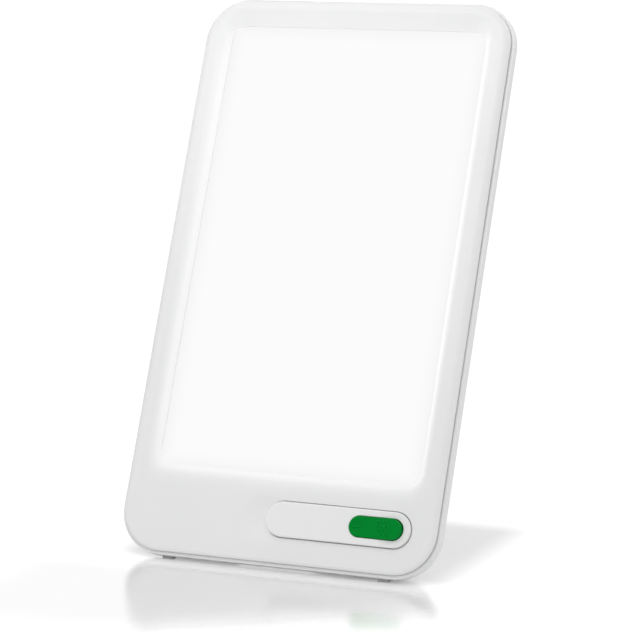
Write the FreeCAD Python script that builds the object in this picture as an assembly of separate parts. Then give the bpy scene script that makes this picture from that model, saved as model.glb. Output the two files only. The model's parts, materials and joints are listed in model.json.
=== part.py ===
import FreeCAD, Part
import math
import os

# A light therapy lamp: a flat lit panel that leans back on a fold-out leg.
# Every piece is drawn upright in the panel's own frame, in millimetres: X to the right, Z up the
# panel from the foot of the front frame, and Y to the back from the seam plane between the front
# frame and the rear cover.  placement() gives the move that leans them back onto the table.

V = FreeCAD.Vector
X_AXIS = V(1, 0, 0)
Y_AXIS = V(0, 1, 0)
Z_AXIS = V(0, 0, 1)

# ---------------------------------------------------------------- driving dimensions
# Panel as a whole
panel_width = 170.0
panel_height = 296.5
panel_corner = 21.6
lean_angle = 23.65

# Clearances
seat_gap = 0.1            # between flat faces that are clamped together
shank_gap = 0.05          # round a screw, pin or post that is held still
running_gap = 0.05        # radial play of a turning joint
overcut = 1.0             # how far a cutter runs past the face that it opens
tiny = 0.01               # slack when edges are picked by their place
least_corner = 0.5        # no outline turns sharper than this

# Front frame: a flat face with a rolled outer edge, and a skirt that nests in the rear cover
frame_rise = 3.4
frame_roll_run = 4.0
frame_roll_drop = 2.4
frame_roll_chords = 3
frame_wall = 2.4
chin_fall = 1.9
chin_fall_start = 52.0
chin_set = 0.01           # the fall starts this far above the face, to cross it cleanly
chin_wall = 3.8
skirt_inset = 0.65
skirt_wall = 1.6
skirt_depth = 4.6
frame_rib_pitch = 30.0
frame_rib_wall = 1.2
frame_rib_depth = 3.6

# Window: the frame's face falls in a long soft slope to the diffuser
window_side = 9.5
window_top = 5.8
window_chin = 42.2
window_corner = 11.0
window_run_side = 4.2
window_run_top = 7.4
window_run_foot = 3.0
window_fall = 4.3
window_lip = 0.6
window_sill_corner = 8.0
crest_round = 1.8

# Diffuser, reflector tray and light source
diffuser_overlap = 3.0
diffuser_thick = 2.5
diffuser_play = 0.3
pocket_wall = 1.2
tray_sheet = 1.0
tray_depth = 9.8
tray_slope = 6.0
tray_mouth_inset = 0.5
led_board_thick = 1.6
led_board_margin = 1.0
led_columns = 5
led_rows = 9
led_length = 3.5
led_width = 2.8
led_height = 0.8
led_border = 9.0
led_plug_width = 10.0
led_plug_height = 6.0
led_plug_depth = 3.0
led_plug_up = 9.0
led_plug_gap = 1.0

# Rear cover: a rim that stands out past the front frame, a shoulder, and a drafted back
rim_overhang = 1.7
rim_front = 0.6
rim_back = 7.7
rim_round = 3.0
cover_wall = 2.2
back_inset = 9.0
back_depth = 26.0
back_draft = 4.0
back_round = 4.0
press_rib_wall = 1.2
press_rib_inset = 33.0
cross_rib_inset = 13.0
vent_width = 2.2
vent_pitch = 8.0
vent_height = 24.0
upper_vent_count = 12
upper_vent_drop = 68.5
lower_vent_count = 3
lower_vent_pitch = 5.0
lower_vent_z = 84.0
lower_vent_inset = 47.0

# Snap beads that hold the sides and the head of the frame in the cover
bead_length = 14.0
bead_height = 0.5
bead_depth = 1.1
bead_y = 3.0
bead_root = 0.3
bead_play = 0.15
bead_heights = (40.0, 112.0, 186.0, 258.0)
bead_places = (-40.0, 40.0)

# Case screws, driven from behind through the shoulder of the cover at its foot
screw_inset = 4.6
screw_side_inset = 39.0
screw_shank = 1.3
screw_head = 2.7
screw_head_height = 1.5
screw_reach = 1.2
screw_boss = 3.0
screw_pad = 3.6
screw_seat = 1.3
screw_hole_gap = 0.4
screw_well = 0.3

# Switch: a raised plate in the chin with a rocker near its right-hand end
plate_side_inset = 12.15
plate_z = 21.95
plate_length = 77.9
plate_width = 18.1
plate_proud = 0.8
plate_top_wall = 1.8
plate_wall = 1.5
plate_gap = 0.4
plate_edge = 0.6
ledge_y = -0.4
ledge_width = 1.6
ledge_thick = 2.0
ledge_wall = 1.5
clip_width = 6.0
clip_thick = 1.2
clip_hook = 0.6
clip_gap = 0.15
clip_offsets = (-28.0, -8.0)
rocker_end_inset = 3.7
rocker_length = 29.5
rocker_width = 11.3
rocker_gap = 0.5
rocker_travel = 10.0
rocker_proud = 0.7
rocker_skirt = 4.7
rocker_wall = 1.4
rocker_edge = 0.6
pivot_depth = 3.4
rocker_hub = 2.2
rocker_pin_radius = 0.9
dish_x = 9.4
dish_radius = 4.0
dish_depth = 0.8
mark_length = 5.6
mark_width = 0.9
mark_height = 0.5
body_wall = 1.2
body_depth = 12.4
body_floor = 1.3
rocker_well = 4.2
chamber_length = 20.0
chamber_width = 7.0
plunger_tube = 1.9
plunger_bore = 1.15
plunger_radius = 1.05
plunger_tube_depth = 4.6
plunger_top_depth = 4.0
plunger_tip_depth = 6.5
plunger_nose = 0.6
spring_wire = 0.3
spring_radius = 0.8
spring_turns = 3
spring_sides = 8
spring_seat = 1.3
lever_length = 16.0
lever_width = 4.4
lever_thick = 0.6
lever_gap = 0.4
lever_knuckle = 0.7
lever_set = 0.2
lever_travel = 12.0
terminal_offset = 7.0
terminal_width = 4.8
terminal_thick = 0.8
terminal_length = 4.5
contact_half = 1.2
contact_gap = 0.3
lead_radius = 0.8
lead_depth = 1.4
lead_sides = 8

# Driver board and the low-voltage inlet
board_side_inset = 25.0
board_width = 51.0
board_foot = 13.0
board_height = 25.0
board_thick = 1.6
board_back = 14.0
post_radius = 2.6
post_inset = 3.2
board_screw_shank = 1.1
board_screw_head = 2.0
board_screw_head_height = 1.3
board_screw_grip = 2.4
coil_across = 17.5
coil_up = 16.0
coil_size = 12.0
coil_corner = 2.6
coil_height = 7.0
capacitor_across = 28.5
capacitor_up = 12.5
capacitor_radius = 4.0
capacitor_height = 9.0
chip_across = 14.0
chip_up = 3.5
chip_length = 6.0
chip_width = 5.0
chip_height = 1.5
plug_length = 7.0
plug_width = 6.4
plug_height = 4.0
jack_side_inset = 39.0
jack_z = 24.0
jack_width = 10.0
jack_height = 9.0
jack_nose = 4.0
jack_nose_length = 3.2
jack_recess = 0.2
jack_bore = 2.75
jack_bore_depth = 9.6
jack_pin_radius = 1.05
jack_pin_setback = 1.2
jack_pin_root = 1.4
jack_root_radius = 1.4

# Stand: a ribbed leg that folds flat into a recess in the back
stand_angle = 15.0
hinge_height = 165.0
hinge_set_in = 3.3
recess_depth = 7.0
recess_side_inset = 54.0
recess_head = 7.0
recess_corner = 3.0
recess_wall = 2.0
leg_top_inset = 57.0
leg_foot_inset = 60.0
leg_thick = 5.0
leg_edge = 1.0
leg_core_depth = 3.0
leg_core_margin = 4.0
leg_rib_count = 4
leg_rib_wall = 1.6
barrel_radius = 3.4
barrel_end_gap = 0.4
hinge_pin_radius = 1.5
hinge_boss = 3.1
hinge_boss_length = 5.0
heel_length = 5.0
pad_thick = 4.0
pad_tenon = 2.5
pad_tenon_thick = 2.0

# Rubber feet under the lower rim
foot_side_inset = 26.0
foot_width = 5.4
foot_front = 3.6
foot_back = 7.9
foot_stand = 0.7
foot_inset = 1.0


# ---------------------------------------------------------------- derived places
def grown(outline, by):
    """The same rounded rectangle, moved outwards by a distance."""
    x0, x1, z0, z1, radius = outline
    return (x0 - by, x1 + by, z0 - by, z1 + by, max(radius + by, least_corner))


def face_depth(z):
    """Depth of the curve that the chin falls along, at a height below its start."""
    radius = (chin_fall_start ** 2 + chin_fall ** 2) / (2 * chin_fall)
    return face_y - chin_set + radius - math.sqrt(radius ** 2 - (chin_fall_start - z) ** 2)


half_width = panel_width / 2
frame_outline = (-half_width, half_width, 0.0, panel_height, panel_corner)
crest_half = half_width - window_side
crest_outline = (-crest_half, crest_half, window_chin, panel_height - window_top, window_corner)
sill_half = crest_half - window_run_side
sill_foot = window_chin + window_run_foot
sill_head = panel_height - window_top - window_run_top
sill_outline = (-sill_half, sill_half, sill_foot, sill_head, window_sill_corner)
face_y = -frame_rise
sill_y = face_y + window_fall
window_back = sill_y + window_lip
diffuser_outline = grown(sill_outline, diffuser_overlap)
pocket_outline = grown(diffuser_outline, diffuser_play)
diffuser_front = window_back + seat_gap
diffuser_back = diffuser_front + diffuser_thick
tray_front = diffuser_back + seat_gap
tray_mouth = grown(sill_outline, -tray_mouth_inset)
tray_floor = tray_front + tray_depth
tray_back = tray_floor + tray_sheet
led_board_back = tray_floor - seat_gap
led_board_front = led_board_back - led_board_thick
jack_x = jack_side_inset - half_width
led_plug_x = jack_x
led_plug_z = sill_foot + tray_mouth_inset + tray_slope + led_plug_up

rim_outline = grown(frame_outline, rim_overhang)
back_outline = grown(rim_outline, -back_inset)
shoulder_inner = rim_back - cover_wall
back_inner = back_depth - cover_wall
recess_floor = back_depth - recess_depth
recess_inner = recess_floor - recess_wall
hinge_y = back_depth - hinge_set_in
recess_top = hinge_height + recess_head
recess_half = half_width - recess_side_inset
leg_top_width = panel_width - 2 * leg_top_inset
leg_foot_width = panel_width - 2 * leg_foot_inset
press_rib_x = half_width - press_rib_inset
lower_vent_x = half_width - lower_vent_inset
upper_vent_z = panel_height - upper_vent_drop
foot_x = half_width - foot_side_inset
board_left = board_side_inset - half_width

screw_points = [(side * (half_width - screw_side_inset), screw_inset) for side in (-1, 1)]
pad_front = skirt_depth + seat_gap
screw_seat_y = pad_front + screw_seat
screw_tip = face_depth(screw_inset) + screw_reach + seat_gap

plate_x = half_width - plate_side_inset - plate_length / 2
plate_top = face_y - plate_proud
plate_under = plate_top + plate_top_wall
rocker_x = plate_x + plate_length / 2 - rocker_end_inset - rocker_length / 2
pivot_y = plate_top + pivot_depth
rocker_crown = plate_top - rocker_proud
half_travel = rocker_travel / 2
body_front = plate_under + seat_gap
body_back = body_front + body_depth
body_length = rocker_length + 2 * (rocker_gap + body_wall)
body_width = rocker_width + 2 * (rocker_gap + body_wall)
lever_top = pivot_y + plunger_tip_depth + lever_gap
lever_pivot_y = lever_top + lever_thick + lever_set
lead_pitch = terminal_thick + 2 * (lead_radius + shank_gap)

floor_rise = rim_round - rim_overhang
lean = math.radians(lean_angle)
rim_lowest = floor_rise * math.cos(lean) - (rim_back - rim_round) * math.sin(lean) - rim_round
table_level = rim_lowest - foot_stand
hinge_level = hinge_height * math.cos(lean) - hinge_y * math.sin(lean) - table_level
open_angle = lean_angle + stand_angle


# ---------------------------------------------------------------- shape helpers
def rounded_wire(outline, y):
    """A rounded rectangle as one closed wire at depth y."""
    x0, x1, z0, z1, r = outline
    k = r * (1 - math.sqrt(0.5))

    def line(xa, za, xb, zb):
        return Part.makeLine(V(xa, y, za), V(xb, y, zb))

    def arc(xa, za, xm, zm, xb, zb):
        return Part.Arc(V(xa, y, za), V(xm, y, zm), V(xb, y, zb)).toShape()

    return Part.Wire([
        line(x0 + r, z0, x1 - r, z0),
        arc(x1 - r, z0, x1 - k, z0 + k, x1, z0 + r),
        line(x1, z0 + r, x1, z1 - r),
        arc(x1, z1 - r, x1 - k, z1 - k, x1 - r, z1),
        line(x1 - r, z1, x0 + r, z1),
        arc(x0 + r, z1, x0 + k, z1 - k, x0, z1 - r),
        line(x0, z1 - r, x0, z0 + r),
        arc(x0, z0 + r, x0 + k, z0 + k, x0 + r, z0),
    ])


def folded_wire(outline, y):
    """A rectangle with its corners cut straight across, as folded sheet has them, at depth y."""
    x0, x1, z0, z1, r = outline
    corners = [V(x0 + r, y, z0), V(x1 - r, y, z0), V(x1, y, z0 + r), V(x1, y, z1 - r),
               V(x1 - r, y, z1), V(x0 + r, y, z1), V(x0, y, z1 - r), V(x0, y, z0 + r)]
    return Part.makePolygon(corners + corners[:1])


def prism(outline, y0, y1):
    """A rounded rectangle pushed from depth y0 to depth y1."""
    return Part.Face(rounded_wire(outline, y0)).extrude(V(0, y1 - y0, 0))


def loft(outline_a, ya, outline_b, yb):
    """A solid that runs straight from one rounded rectangle to another."""
    return Part.makeLoft([rounded_wire(outline_a, ya), rounded_wire(outline_b, yb)], True, True)


def stadium(cx, cz, length, width, y0, y1):
    """A long slot shape with round ends, lying along X."""
    r = width / 2
    a = length / 2 - r
    wire = Part.Wire([
        Part.makeLine(V(cx - a, y0, cz - r), V(cx + a, y0, cz - r)),
        Part.Arc(V(cx + a, y0, cz - r), V(cx + a + r, y0, cz), V(cx + a, y0, cz + r)).toShape(),
        Part.makeLine(V(cx + a, y0, cz + r), V(cx - a, y0, cz + r)),
        Part.Arc(V(cx - a, y0, cz + r), V(cx - a - r, y0, cz), V(cx - a, y0, cz - r)).toShape(),
    ])
    return Part.Face(wire).extrude(V(0, y1 - y0, 0))


def box(x0, x1, y0, y1, z0, z1):
    """A box between two corners."""
    return Part.makeBox(x1 - x0, y1 - y0, z1 - z0, V(x0, y0, z0))


def rod_y(x, z, radius, y0, y1):
    """A round rod along Y."""
    return Part.makeCylinder(radius, y1 - y0, V(x, y0, z), Y_AXIS)


def rod_x(y, z, radius, x0, x1):
    """A round rod along X."""
    return Part.makeCylinder(radius, x1 - x0, V(x0, y, z), X_AXIS)


def rod_z(x, y, radius, z0, z1):
    """A round rod along Z."""
    return Part.makeCylinder(radius, z1 - z0, V(x, y, z0), Z_AXIS)


def bar(points, start, along):
    """A straight bar: a polygon given as points, pushed along a vector."""
    corners = [V(*p) + start for p in points]
    return Part.Face(Part.makePolygon(corners + corners[:1])).extrude(along)


def fused(shapes):
    """One solid from several that meet."""
    return shapes[0].fuse(list(shapes[1:])).removeSplitter()


def group(shapes):
    """Separate solids kept together in one piece."""
    return Part.makeCompound(list(shapes))


def spun(profile, x, z):
    """A turned piece about the Y line through (x, z), from (radius, y) points."""
    wire = Part.makePolygon([V(x + r, y, z) for r, y in profile + profile[:1]])
    return Part.Face(wire).revolve(V(x, 0, z), Y_AXIS, 360)


def ring(outline, section):
    """A section carried once round a rounded rectangle.

    section(at) draws the face, where at(inward, y) is a point on it.
    """
    x0, x1, z0, z1, r = outline
    runs = (
        (V(x0 + r, 0, z0), V(x1 - r, 0, z0), V(0, 0, 1)),
        (V(x1, 0, z0 + r), V(x1, 0, z1 - r), V(-1, 0, 0)),
        (V(x1 - r, 0, z1), V(x0 + r, 0, z1), V(0, 0, -1)),
        (V(x0, 0, z1 - r), V(x0, 0, z0 + r), V(1, 0, 0)),
    )
    pieces = []
    for start, end, inward in runs:
        face = section(lambda d, y: start + inward * d + V(0, y, 0))
        pieces.append(face.extrude(end - start))
        face.translate(end - start)
        pieces.append(face.revolve(end + inward * r, V(0, -1, 0), 90))
    return pieces[0].fuse(pieces[1:])


def front_roll(face, run, drop, chords):
    """Section that rolls a front edge down to the side in chords of one arc, level with the face."""
    radius = (run ** 2 + drop ** 2) / (2 * drop)
    sweep = math.asin(run / radius)
    out = drop
    outline = [(-out, face + drop), (-out, face - out), (run, face - out)]
    for i in range(chords + 1):
        turn = sweep * i / chords
        outline.append((run - radius * math.sin(turn), face + radius * (1 - math.cos(turn))))

    def section(at):
        corners = [at(*p) for p in outline]
        return Part.Face(Part.makePolygon(corners + corners[:1]))

    return section


def back_slope(start, back, run, edge):
    """Section that leans a side inwards by run from start to back, and breaks its far edge twice."""
    out = run + edge
    tilt = math.atan2(run, back - start)
    turn = (math.pi / 2 - tilt) / 2
    reach = edge * math.tan(turn)
    foot = (run - reach * math.sin(tilt), back - reach * math.cos(tilt))
    middle = (run + reach - edge * math.sin(turn), back - edge + edge * math.cos(turn))
    outside = [(run + reach, back), (run + reach, back + out), (-out, back + out), (-out, start)]
    if run:
        outside.append((0, start))
    else:
        outside[-1] = (-out, foot[1])

    def section(at):
        corners = [at(*p) for p in [foot, middle] + outside]
        return Part.Face(Part.makePolygon(corners + corners[:1]))

    return section


def leaned_in(outline, y0, y1, run):
    """A prism whose sides lean inwards by run on the way from y0 to y1."""
    return loft(outline, y0, grown(outline, -run), y1)


# ---------------------------------------------------------------- front frame
def chin_cutter():
    """What is taken off the face so that the chin falls away in one long curve."""
    x = -panel_width
    foot = -overcut
    top = face_y - frame_rise

    def at(z, y):
        return V(x, y, z)

    arc = Part.Arc(
        at(chin_fall_start, face_depth(chin_fall_start)),
        at(chin_fall_start / 2, face_depth(chin_fall_start / 2)),
        at(foot, face_depth(foot)),
    ).toShape()
    wire = Part.Wire([
        arc,
        Part.makeLine(at(foot, face_depth(foot)), at(foot, top)),
        Part.makeLine(at(foot, top), at(chin_fall_start, top)),
        Part.makeLine(at(chin_fall_start, top), at(chin_fall_start, face_depth(chin_fall_start))),
    ])
    return Part.Face(wire).extrude(V(2 * panel_width, 0, 0))


def window_cutter():
    """The window: a lofted slope down to the sill, and the opening through it."""
    slope = loft(crest_outline, face_y, sill_outline, sill_y)
    above = prism(crest_outline, face_y - frame_rise, face_y)
    through = prism(sill_outline, sill_y, window_back + seat_gap)
    return fused([above, slope, through])


def crest_edges(shape):
    """The edges where the face turns into the window."""
    found = []
    for edge in shape.Edges:
        b = edge.BoundBox
        near_face = b.YMax < face_y + crest_round / 2
        inside = max(-b.XMin, b.XMax) < crest_half + tiny
        below = b.ZMax < panel_height - window_top + tiny
        if near_face and inside and below:
            found.append(edge)
    return found


def bead(along, outward, at, play):
    """One snap bead of triangular section: it lies along one direction and stands out in another."""
    depth = bead_depth / 2 + play
    section = [(-bead_root, -depth), (0, -depth), (bead_height + play, 0), (0, depth), (-bead_root, depth)]
    half = along * (bead_length / 2 + play)
    points = [outward * d + V(0, bead_y + y, 0) for d, y in section]
    return bar([(p.x, p.y, p.z) for p in points], at - half, half * 2)


def beads(play):
    """Snap beads along the sides and the head, or their grooves when given some play."""
    solids = []
    for side in (-1, 1):
        for z in bead_heights:
            solids.append(bead(Z_AXIS, X_AXIS * side, V(side * (half_width - skirt_inset), 0, z), play))
    for x in bead_places:
        solids.append(bead(X_AXIS, Z_AXIS, V(x, 0, panel_height - skirt_inset), play))
    return solids


def front_frame():
    """Moulded bezel: rolled edge, falling chin, sloped window, skirt, collar, ribs and bosses."""
    form = prism(frame_outline, face_y, 0)
    roll = front_roll(face_y, frame_roll_run, frame_roll_drop, frame_roll_chords)
    form = form.cut(ring(frame_outline, roll))
    form = form.cut(chin_cutter())

    ceiling = face_y + frame_wall
    chin_ceiling = face_y + chin_wall
    inside = grown(frame_outline, -(skirt_inset + skirt_wall))
    collar_outline = grown(pocket_outline, pocket_wall)
    x0, x1, z0, _, radius = collar_outline
    collar_outline = (x0, x1, z0, panel_height - window_top + diffuser_play, radius)

    skirt = prism(grown(frame_outline, -skirt_inset), chin_ceiling - overcut, skirt_depth)
    hollow = prism(inside, ceiling, skirt_depth + overcut)
    chin = box(-half_width, half_width, ceiling - overcut, chin_ceiling, -overcut, z0)
    hollow = hollow.cut(chin)
    collar = prism(collar_outline, ceiling - overcut, skirt_depth)
    hollow = hollow.cut(collar)

    inner = inside[1]
    ribs = []
    count = int((panel_height - window_chin) / frame_rib_pitch)
    for i in range(1, count):
        z = window_chin + i * frame_rib_pitch
        for a, b in ((-inner, x0), (x1, inner)):
            ribs.append(box(a, b, ceiling - overcut, frame_rib_depth,
                            z - frame_rib_wall / 2, z + frame_rib_wall / 2))
    bosses = [rod_y(x, z, screw_boss, ceiling, skirt_depth) for x, z in screw_points]
    hollow = hollow.cut(ribs + bosses)

    ring_length = plate_length + 2 * (plate_gap + ledge_wall)
    ring_width = plate_width + 2 * (plate_gap + ledge_wall)
    hollow = hollow.cut(stadium(plate_x, plate_z, ring_length, ring_width, ceiling, ledge_y + ledge_thick))

    frame = form.fuse([skirt] + beads(0)).cut(hollow)
    frame = frame.cut(prism(pocket_outline, window_back, skirt_depth + overcut))
    frame = frame.cut(window_cutter())
    frame = frame.makeFillet(crest_round, crest_edges(frame))

    seat = stadium(plate_x, plate_z, plate_length + 2 * plate_gap, plate_width + 2 * plate_gap,
                   face_y - frame_rise, ledge_y)
    through = stadium(plate_x, plate_z, plate_length - 2 * ledge_width, plate_width - 2 * ledge_width,
                      face_y - frame_rise, skirt_depth)
    pilots = [rod_y(x, z, screw_shank + shank_gap, screw_tip - seat_gap, skirt_depth + overcut)
              for x, z in screw_points]
    return frame.cut([seat, through] + pilots).removeSplitter()


# ---------------------------------------------------------------- diffuser and light source
def diffuser_panel():
    """Opal sheet that lies in the pocket behind the window."""
    return prism(diffuser_outline, diffuser_front, diffuser_back)


def folded_bowl(outline, y0, y1):
    """A block with folded corners whose sides lean inwards by the tray's slope."""
    wires = [folded_wire(outline, y0), folded_wire(grown(outline, -tray_slope), y1)]
    return Part.makeLoft(wires, True, True)


def reflector_tray():
    """Folded white tray: a flange on the diffuser and a drafted bowl that holds the light board."""
    flange = prism(diffuser_outline, tray_front, tray_front + tray_sheet)
    outer = folded_bowl(grown(tray_mouth, tray_sheet), tray_front, tray_back)
    inner = folded_bowl(tray_mouth, tray_front, tray_floor)
    mouth = Part.Face(folded_wire(tray_mouth, tray_front - overcut)).extrude(V(0, overcut, 0))
    half_across = led_plug_width / 2 + led_plug_gap
    half_up = led_plug_height / 2 + led_plug_gap
    plug_hole = box(led_plug_x - half_across, led_plug_x + half_across, led_board_back,
                    tray_back + overcut, led_plug_z - half_up, led_plug_z + half_up)
    return fused([flange, outer]).cut([mouth, inner, plug_hole])


def led_board_outline():
    """The light board fills the tray's floor but for a margin."""
    return grown(tray_mouth, -(tray_slope + led_board_margin))


def led_board():
    """Aluminium-core board on the floor of the tray."""
    wire = folded_wire(led_board_outline(), led_board_front)
    return Part.Face(wire).extrude(V(0, led_board_thick, 0))


def led_emitters():
    """A grid of surface-mounted LEDs on the front of the board."""
    x0, x1, z0, z1, _ = grown(led_board_outline(), -led_border)
    solids = []
    for i in range(led_columns):
        for j in range(led_rows):
            x = x0 + (x1 - x0) * i / (led_columns - 1)
            z = z0 + (z1 - z0) * j / (led_rows - 1)
            solids.append(box(x - led_length / 2, x + led_length / 2, led_board_front - led_height,
                              led_board_front, z - led_width / 2, z + led_width / 2))
    return group(solids)


def led_connector():
    """Lead socket on the back of the light board, reaching out through the tray."""
    return box(led_plug_x - led_plug_width / 2, led_plug_x + led_plug_width / 2,
               led_board_back, led_board_back + tray_sheet + led_plug_depth,
               led_plug_z - led_plug_height / 2, led_plug_z + led_plug_height / 2)


# ---------------------------------------------------------------- rear cover
def cover_outside():
    """The cover's outer form: a slab with a bevelled rim, and a drafted back with a bevelled edge."""
    slab = prism(rim_outline, rim_front, rim_back)
    slab = slab.cut(ring(rim_outline, back_slope(rim_front, rim_back, 0, rim_round)))
    hump = prism(back_outline, rim_front, back_depth)
    return slab.fuse(hump.cut(ring(back_outline, back_slope(rim_back, back_depth, back_draft, back_round))))


def cover_inside():
    """What the cover's wall leaves free behind the front frame."""
    slab = prism(grown(rim_outline, -cover_wall), rim_front - overcut, shoulder_inner)
    outline = grown(back_outline, -cover_wall)
    return fused([slab, prism(outline, rim_front, shoulder_inner),
                  leaned_in(outline, shoulder_inner, back_inner, back_draft)])


def recess(grow, front):
    """The space that the folded leg lies in, open at its foot."""
    half = recess_half + grow
    outline = (-half, half, -panel_corner, recess_top + grow, recess_corner + grow)
    return prism(outline, front, back_depth + overcut)


def vents():
    """Air slots: a row across the top of the back and a few beside the foot of the recess."""
    slots = []
    span = (upper_vent_count - 1) * vent_pitch
    for i in range(upper_vent_count):
        slots.append((i * vent_pitch - span / 2, upper_vent_z))
    for side in (-1, 1):
        for i in range(lower_vent_count):
            slots.append((side * (lower_vent_x + i * lower_vent_pitch), lower_vent_z))
    half = vent_width / 2
    return [box(x - half, x + half, back_inner - overcut, back_depth + overcut, z, z + vent_height)
            for x, z in slots]


def board_point():
    """Centre of the driver board's screw; the inlet's nose holds the board's other end."""
    return board_left + board_width - post_inset, board_foot + post_inset


def foot_section(x0, x1, grow):
    """A foot wedge from x0 to x1: its flat sole lies on the table when the panel leans."""
    top = -rim_overhang + foot_inset + grow

    def sole(y):
        return (table_level + y * math.sin(lean)) / math.cos(lean)

    y0 = foot_front - grow
    y1 = foot_back + grow
    return bar([(0, y0, sole(y0)), (0, y1, sole(y1)), (0, y1, top), (0, y0, top)],
               V(x0, 0, 0), V(x1 - x0, 0, 0))


def rear_cover():
    """Moulded back shell: rim, shoulder, leg recess, hinge bosses, posts, ribs, wells and vents."""
    cavity = cover_inside().cut(recess(recess_wall, recess_inner))
    x_in = recess_half + recess_wall
    solids = []
    for side in (-1, 1):
        a, b = sorted((side * (x_in - overcut / 2), side * (x_in + hinge_boss_length)))
        solids.append(rod_x(hinge_y, hinge_height, hinge_boss, a, b))
    for x, z in screw_points:
        solids.append(rod_y(x, z, screw_pad, pad_front, shoulder_inner + overcut))
    solids.append(rod_y(*board_point(), post_radius, board_back + seat_gap, back_inner + overcut))
    rib_foot = sill_foot + tray_slope + tray_mouth_inset
    rib_head = sill_head - tray_slope - tray_mouth_inset
    for x in (-press_rib_x, press_rib_x):
        solids.append(box(x - press_rib_wall / 2, x + press_rib_wall / 2, tray_back + seat_gap,
                          back_inner + overcut, rib_foot, rib_head))
    for z in (recess_top + cross_rib_inset, rib_head - cross_rib_inset):
        solids.append(box(-press_rib_x, press_rib_x, tray_back + seat_gap, back_inner + overcut,
                          z - press_rib_wall / 2, z + press_rib_wall / 2))
    cavity = cavity.cut(solids)
    cuts = [cavity, recess(0, recess_floor)] + beads(bead_play) + vents()
    hole = hinge_pin_radius + shank_gap
    reach = x_in + hinge_boss_length + overcut
    cuts.append(rod_x(hinge_y, hinge_height, hole, -reach, reach))
    for x, z in screw_points:
        cuts.append(rod_y(x, z, screw_shank + screw_hole_gap, pad_front - overcut, rim_back + overcut))
        cuts.append(rod_y(x, z, screw_head + screw_well, screw_seat_y, rim_back + overcut))
    cuts.append(rod_y(*board_point(), board_screw_shank + shank_gap, board_back,
                      board_back + board_screw_grip + seat_gap))
    cuts.append(rod_y(jack_x, jack_z, jack_nose + seat_gap, back_inner - overcut, back_depth + overcut))
    for side in (-1, 1):
        x = side * foot_x
        cuts.append(foot_section(x - foot_width / 2 - shank_gap, x + foot_width / 2 + shank_gap, shank_gap))
    return cover_outside().cut(cuts).removeSplitter()


# ---------------------------------------------------------------- fasteners and feet
def screw(x, z, shank, head, head_height, seat, tip):
    """Cheese-head screw: its head bears on seat and its shank ends at tip."""
    top = seat + math.copysign(head_height, seat - tip)
    return spun([(0, tip), (shank, tip), (shank, seat), (head, seat), (head, top), (0, top)], x, z)


def case_screws():
    """Screws that draw the cover onto the frame."""
    return group([screw(x, z, screw_shank, screw_head, screw_head_height, screw_seat_y, screw_tip)
                  for x, z in screw_points])


def board_screw():
    """Screw that holds the driver board on its post."""
    return screw(*board_point(), board_screw_shank, board_screw_head, board_screw_head_height,
                 board_back - board_thick, board_back + board_screw_grip)


def front_feet():
    """Two rubber wedges let into the lower rim."""
    return group([foot_section(x - foot_width / 2, x + foot_width / 2, 0) for x in (-foot_x, foot_x)])


# ---------------------------------------------------------------- stand
def leg_sole(y):
    """Distance down the leg at which a point at depth y meets the table."""
    tilt = math.radians(stand_angle)
    return (hinge_level + y * math.sin(tilt)) / math.cos(tilt)


def leg_end():
    """Distance down the leg at which the plate ends and its rubber pad begins."""
    return leg_sole(-leg_thick / 2) - pad_thick


def leg_half(s):
    """Half the leg's width at a distance down it."""
    return (leg_top_width + (leg_foot_width - leg_top_width) * s / leg_end()) / 2


def opened(shape):
    """Swing a piece of the folded leg out to where it stands, and set it on its hinge."""
    shape.rotate(V(0, 0, 0), X_AXIS, open_angle)
    shape.translate(V(0, hinge_y, hinge_height))
    return shape


def leg_blade(y0, y1, s0, s1, margin):
    """A slice of the tapering leg between two distances down it."""
    a = leg_half(s0) - margin
    b = leg_half(s1) - margin
    corners = [V(-a, y0, -s0), V(a, y0, -s0), V(b, y0, -s1), V(-b, y0, -s1)]
    return Part.Face(Part.makePolygon(corners + corners[:1])).extrude(V(0, y1 - y0, 0))


def stand_leg():
    """Leg drawn folded, its hinge on the X axis: blade, cored back with ribs, barrel and heel."""
    half = leg_thick / 2
    end = leg_end()
    blade = leg_blade(-half, half, 0, end, 0)
    edges = [e for e in blade.Edges if e.BoundBox.YMin > half - tiny and e.BoundBox.ZMax < -tiny]
    blade = blade.makeFillet(leg_edge, edges)

    bays = []
    first = barrel_radius + leg_core_margin
    pitch = (end - leg_core_margin - first + leg_rib_wall) / (leg_rib_count + 1)
    for i in range(leg_rib_count + 1):
        s0 = first + i * pitch
        bays.append(leg_blade(-half - overcut, -half + leg_core_depth, s0, s0 + pitch - leg_rib_wall,
                              leg_core_margin))
    blade = blade.cut(bays)

    reach = recess_half - barrel_end_gap
    barrel = rod_x(0, 0, barrel_radius, -reach, reach)
    heel = box(-leg_half(0), leg_half(0), -barrel_radius, 0, 0, heel_length)
    heel.rotate(V(0, 0, 0), X_AXIS, -open_angle)
    tenon = box(-leg_half(end) + pad_thick, leg_half(end) - pad_thick, -pad_tenon_thick / 2,
                pad_tenon_thick / 2, -end - pad_tenon, -end + overcut)
    bore = rod_x(0, 0, hinge_pin_radius + running_gap, -reach - overcut, reach + overcut)
    return opened(fused([blade, barrel, heel, tenon]).cut(bore))


def stand_foot_pad():
    """Rubber pad on the end of the leg, its sole level with the table."""
    half = leg_thick / 2
    end = leg_end()
    width = leg_half(end)
    pad = bar([(0, -half, -end - shank_gap), (0, half, -end - shank_gap),
               (0, half, -leg_sole(half)), (0, -half, -leg_sole(-half))],
              V(-width, 0, 0), V(2 * width, 0, 0))
    play = shank_gap
    slot = box(-width + pad_thick - play, width - pad_thick + play, -pad_tenon_thick / 2 - play,
               pad_tenon_thick / 2 + play, -end - pad_tenon - play, -end + overcut)
    return opened(pad.cut(slot))


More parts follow.
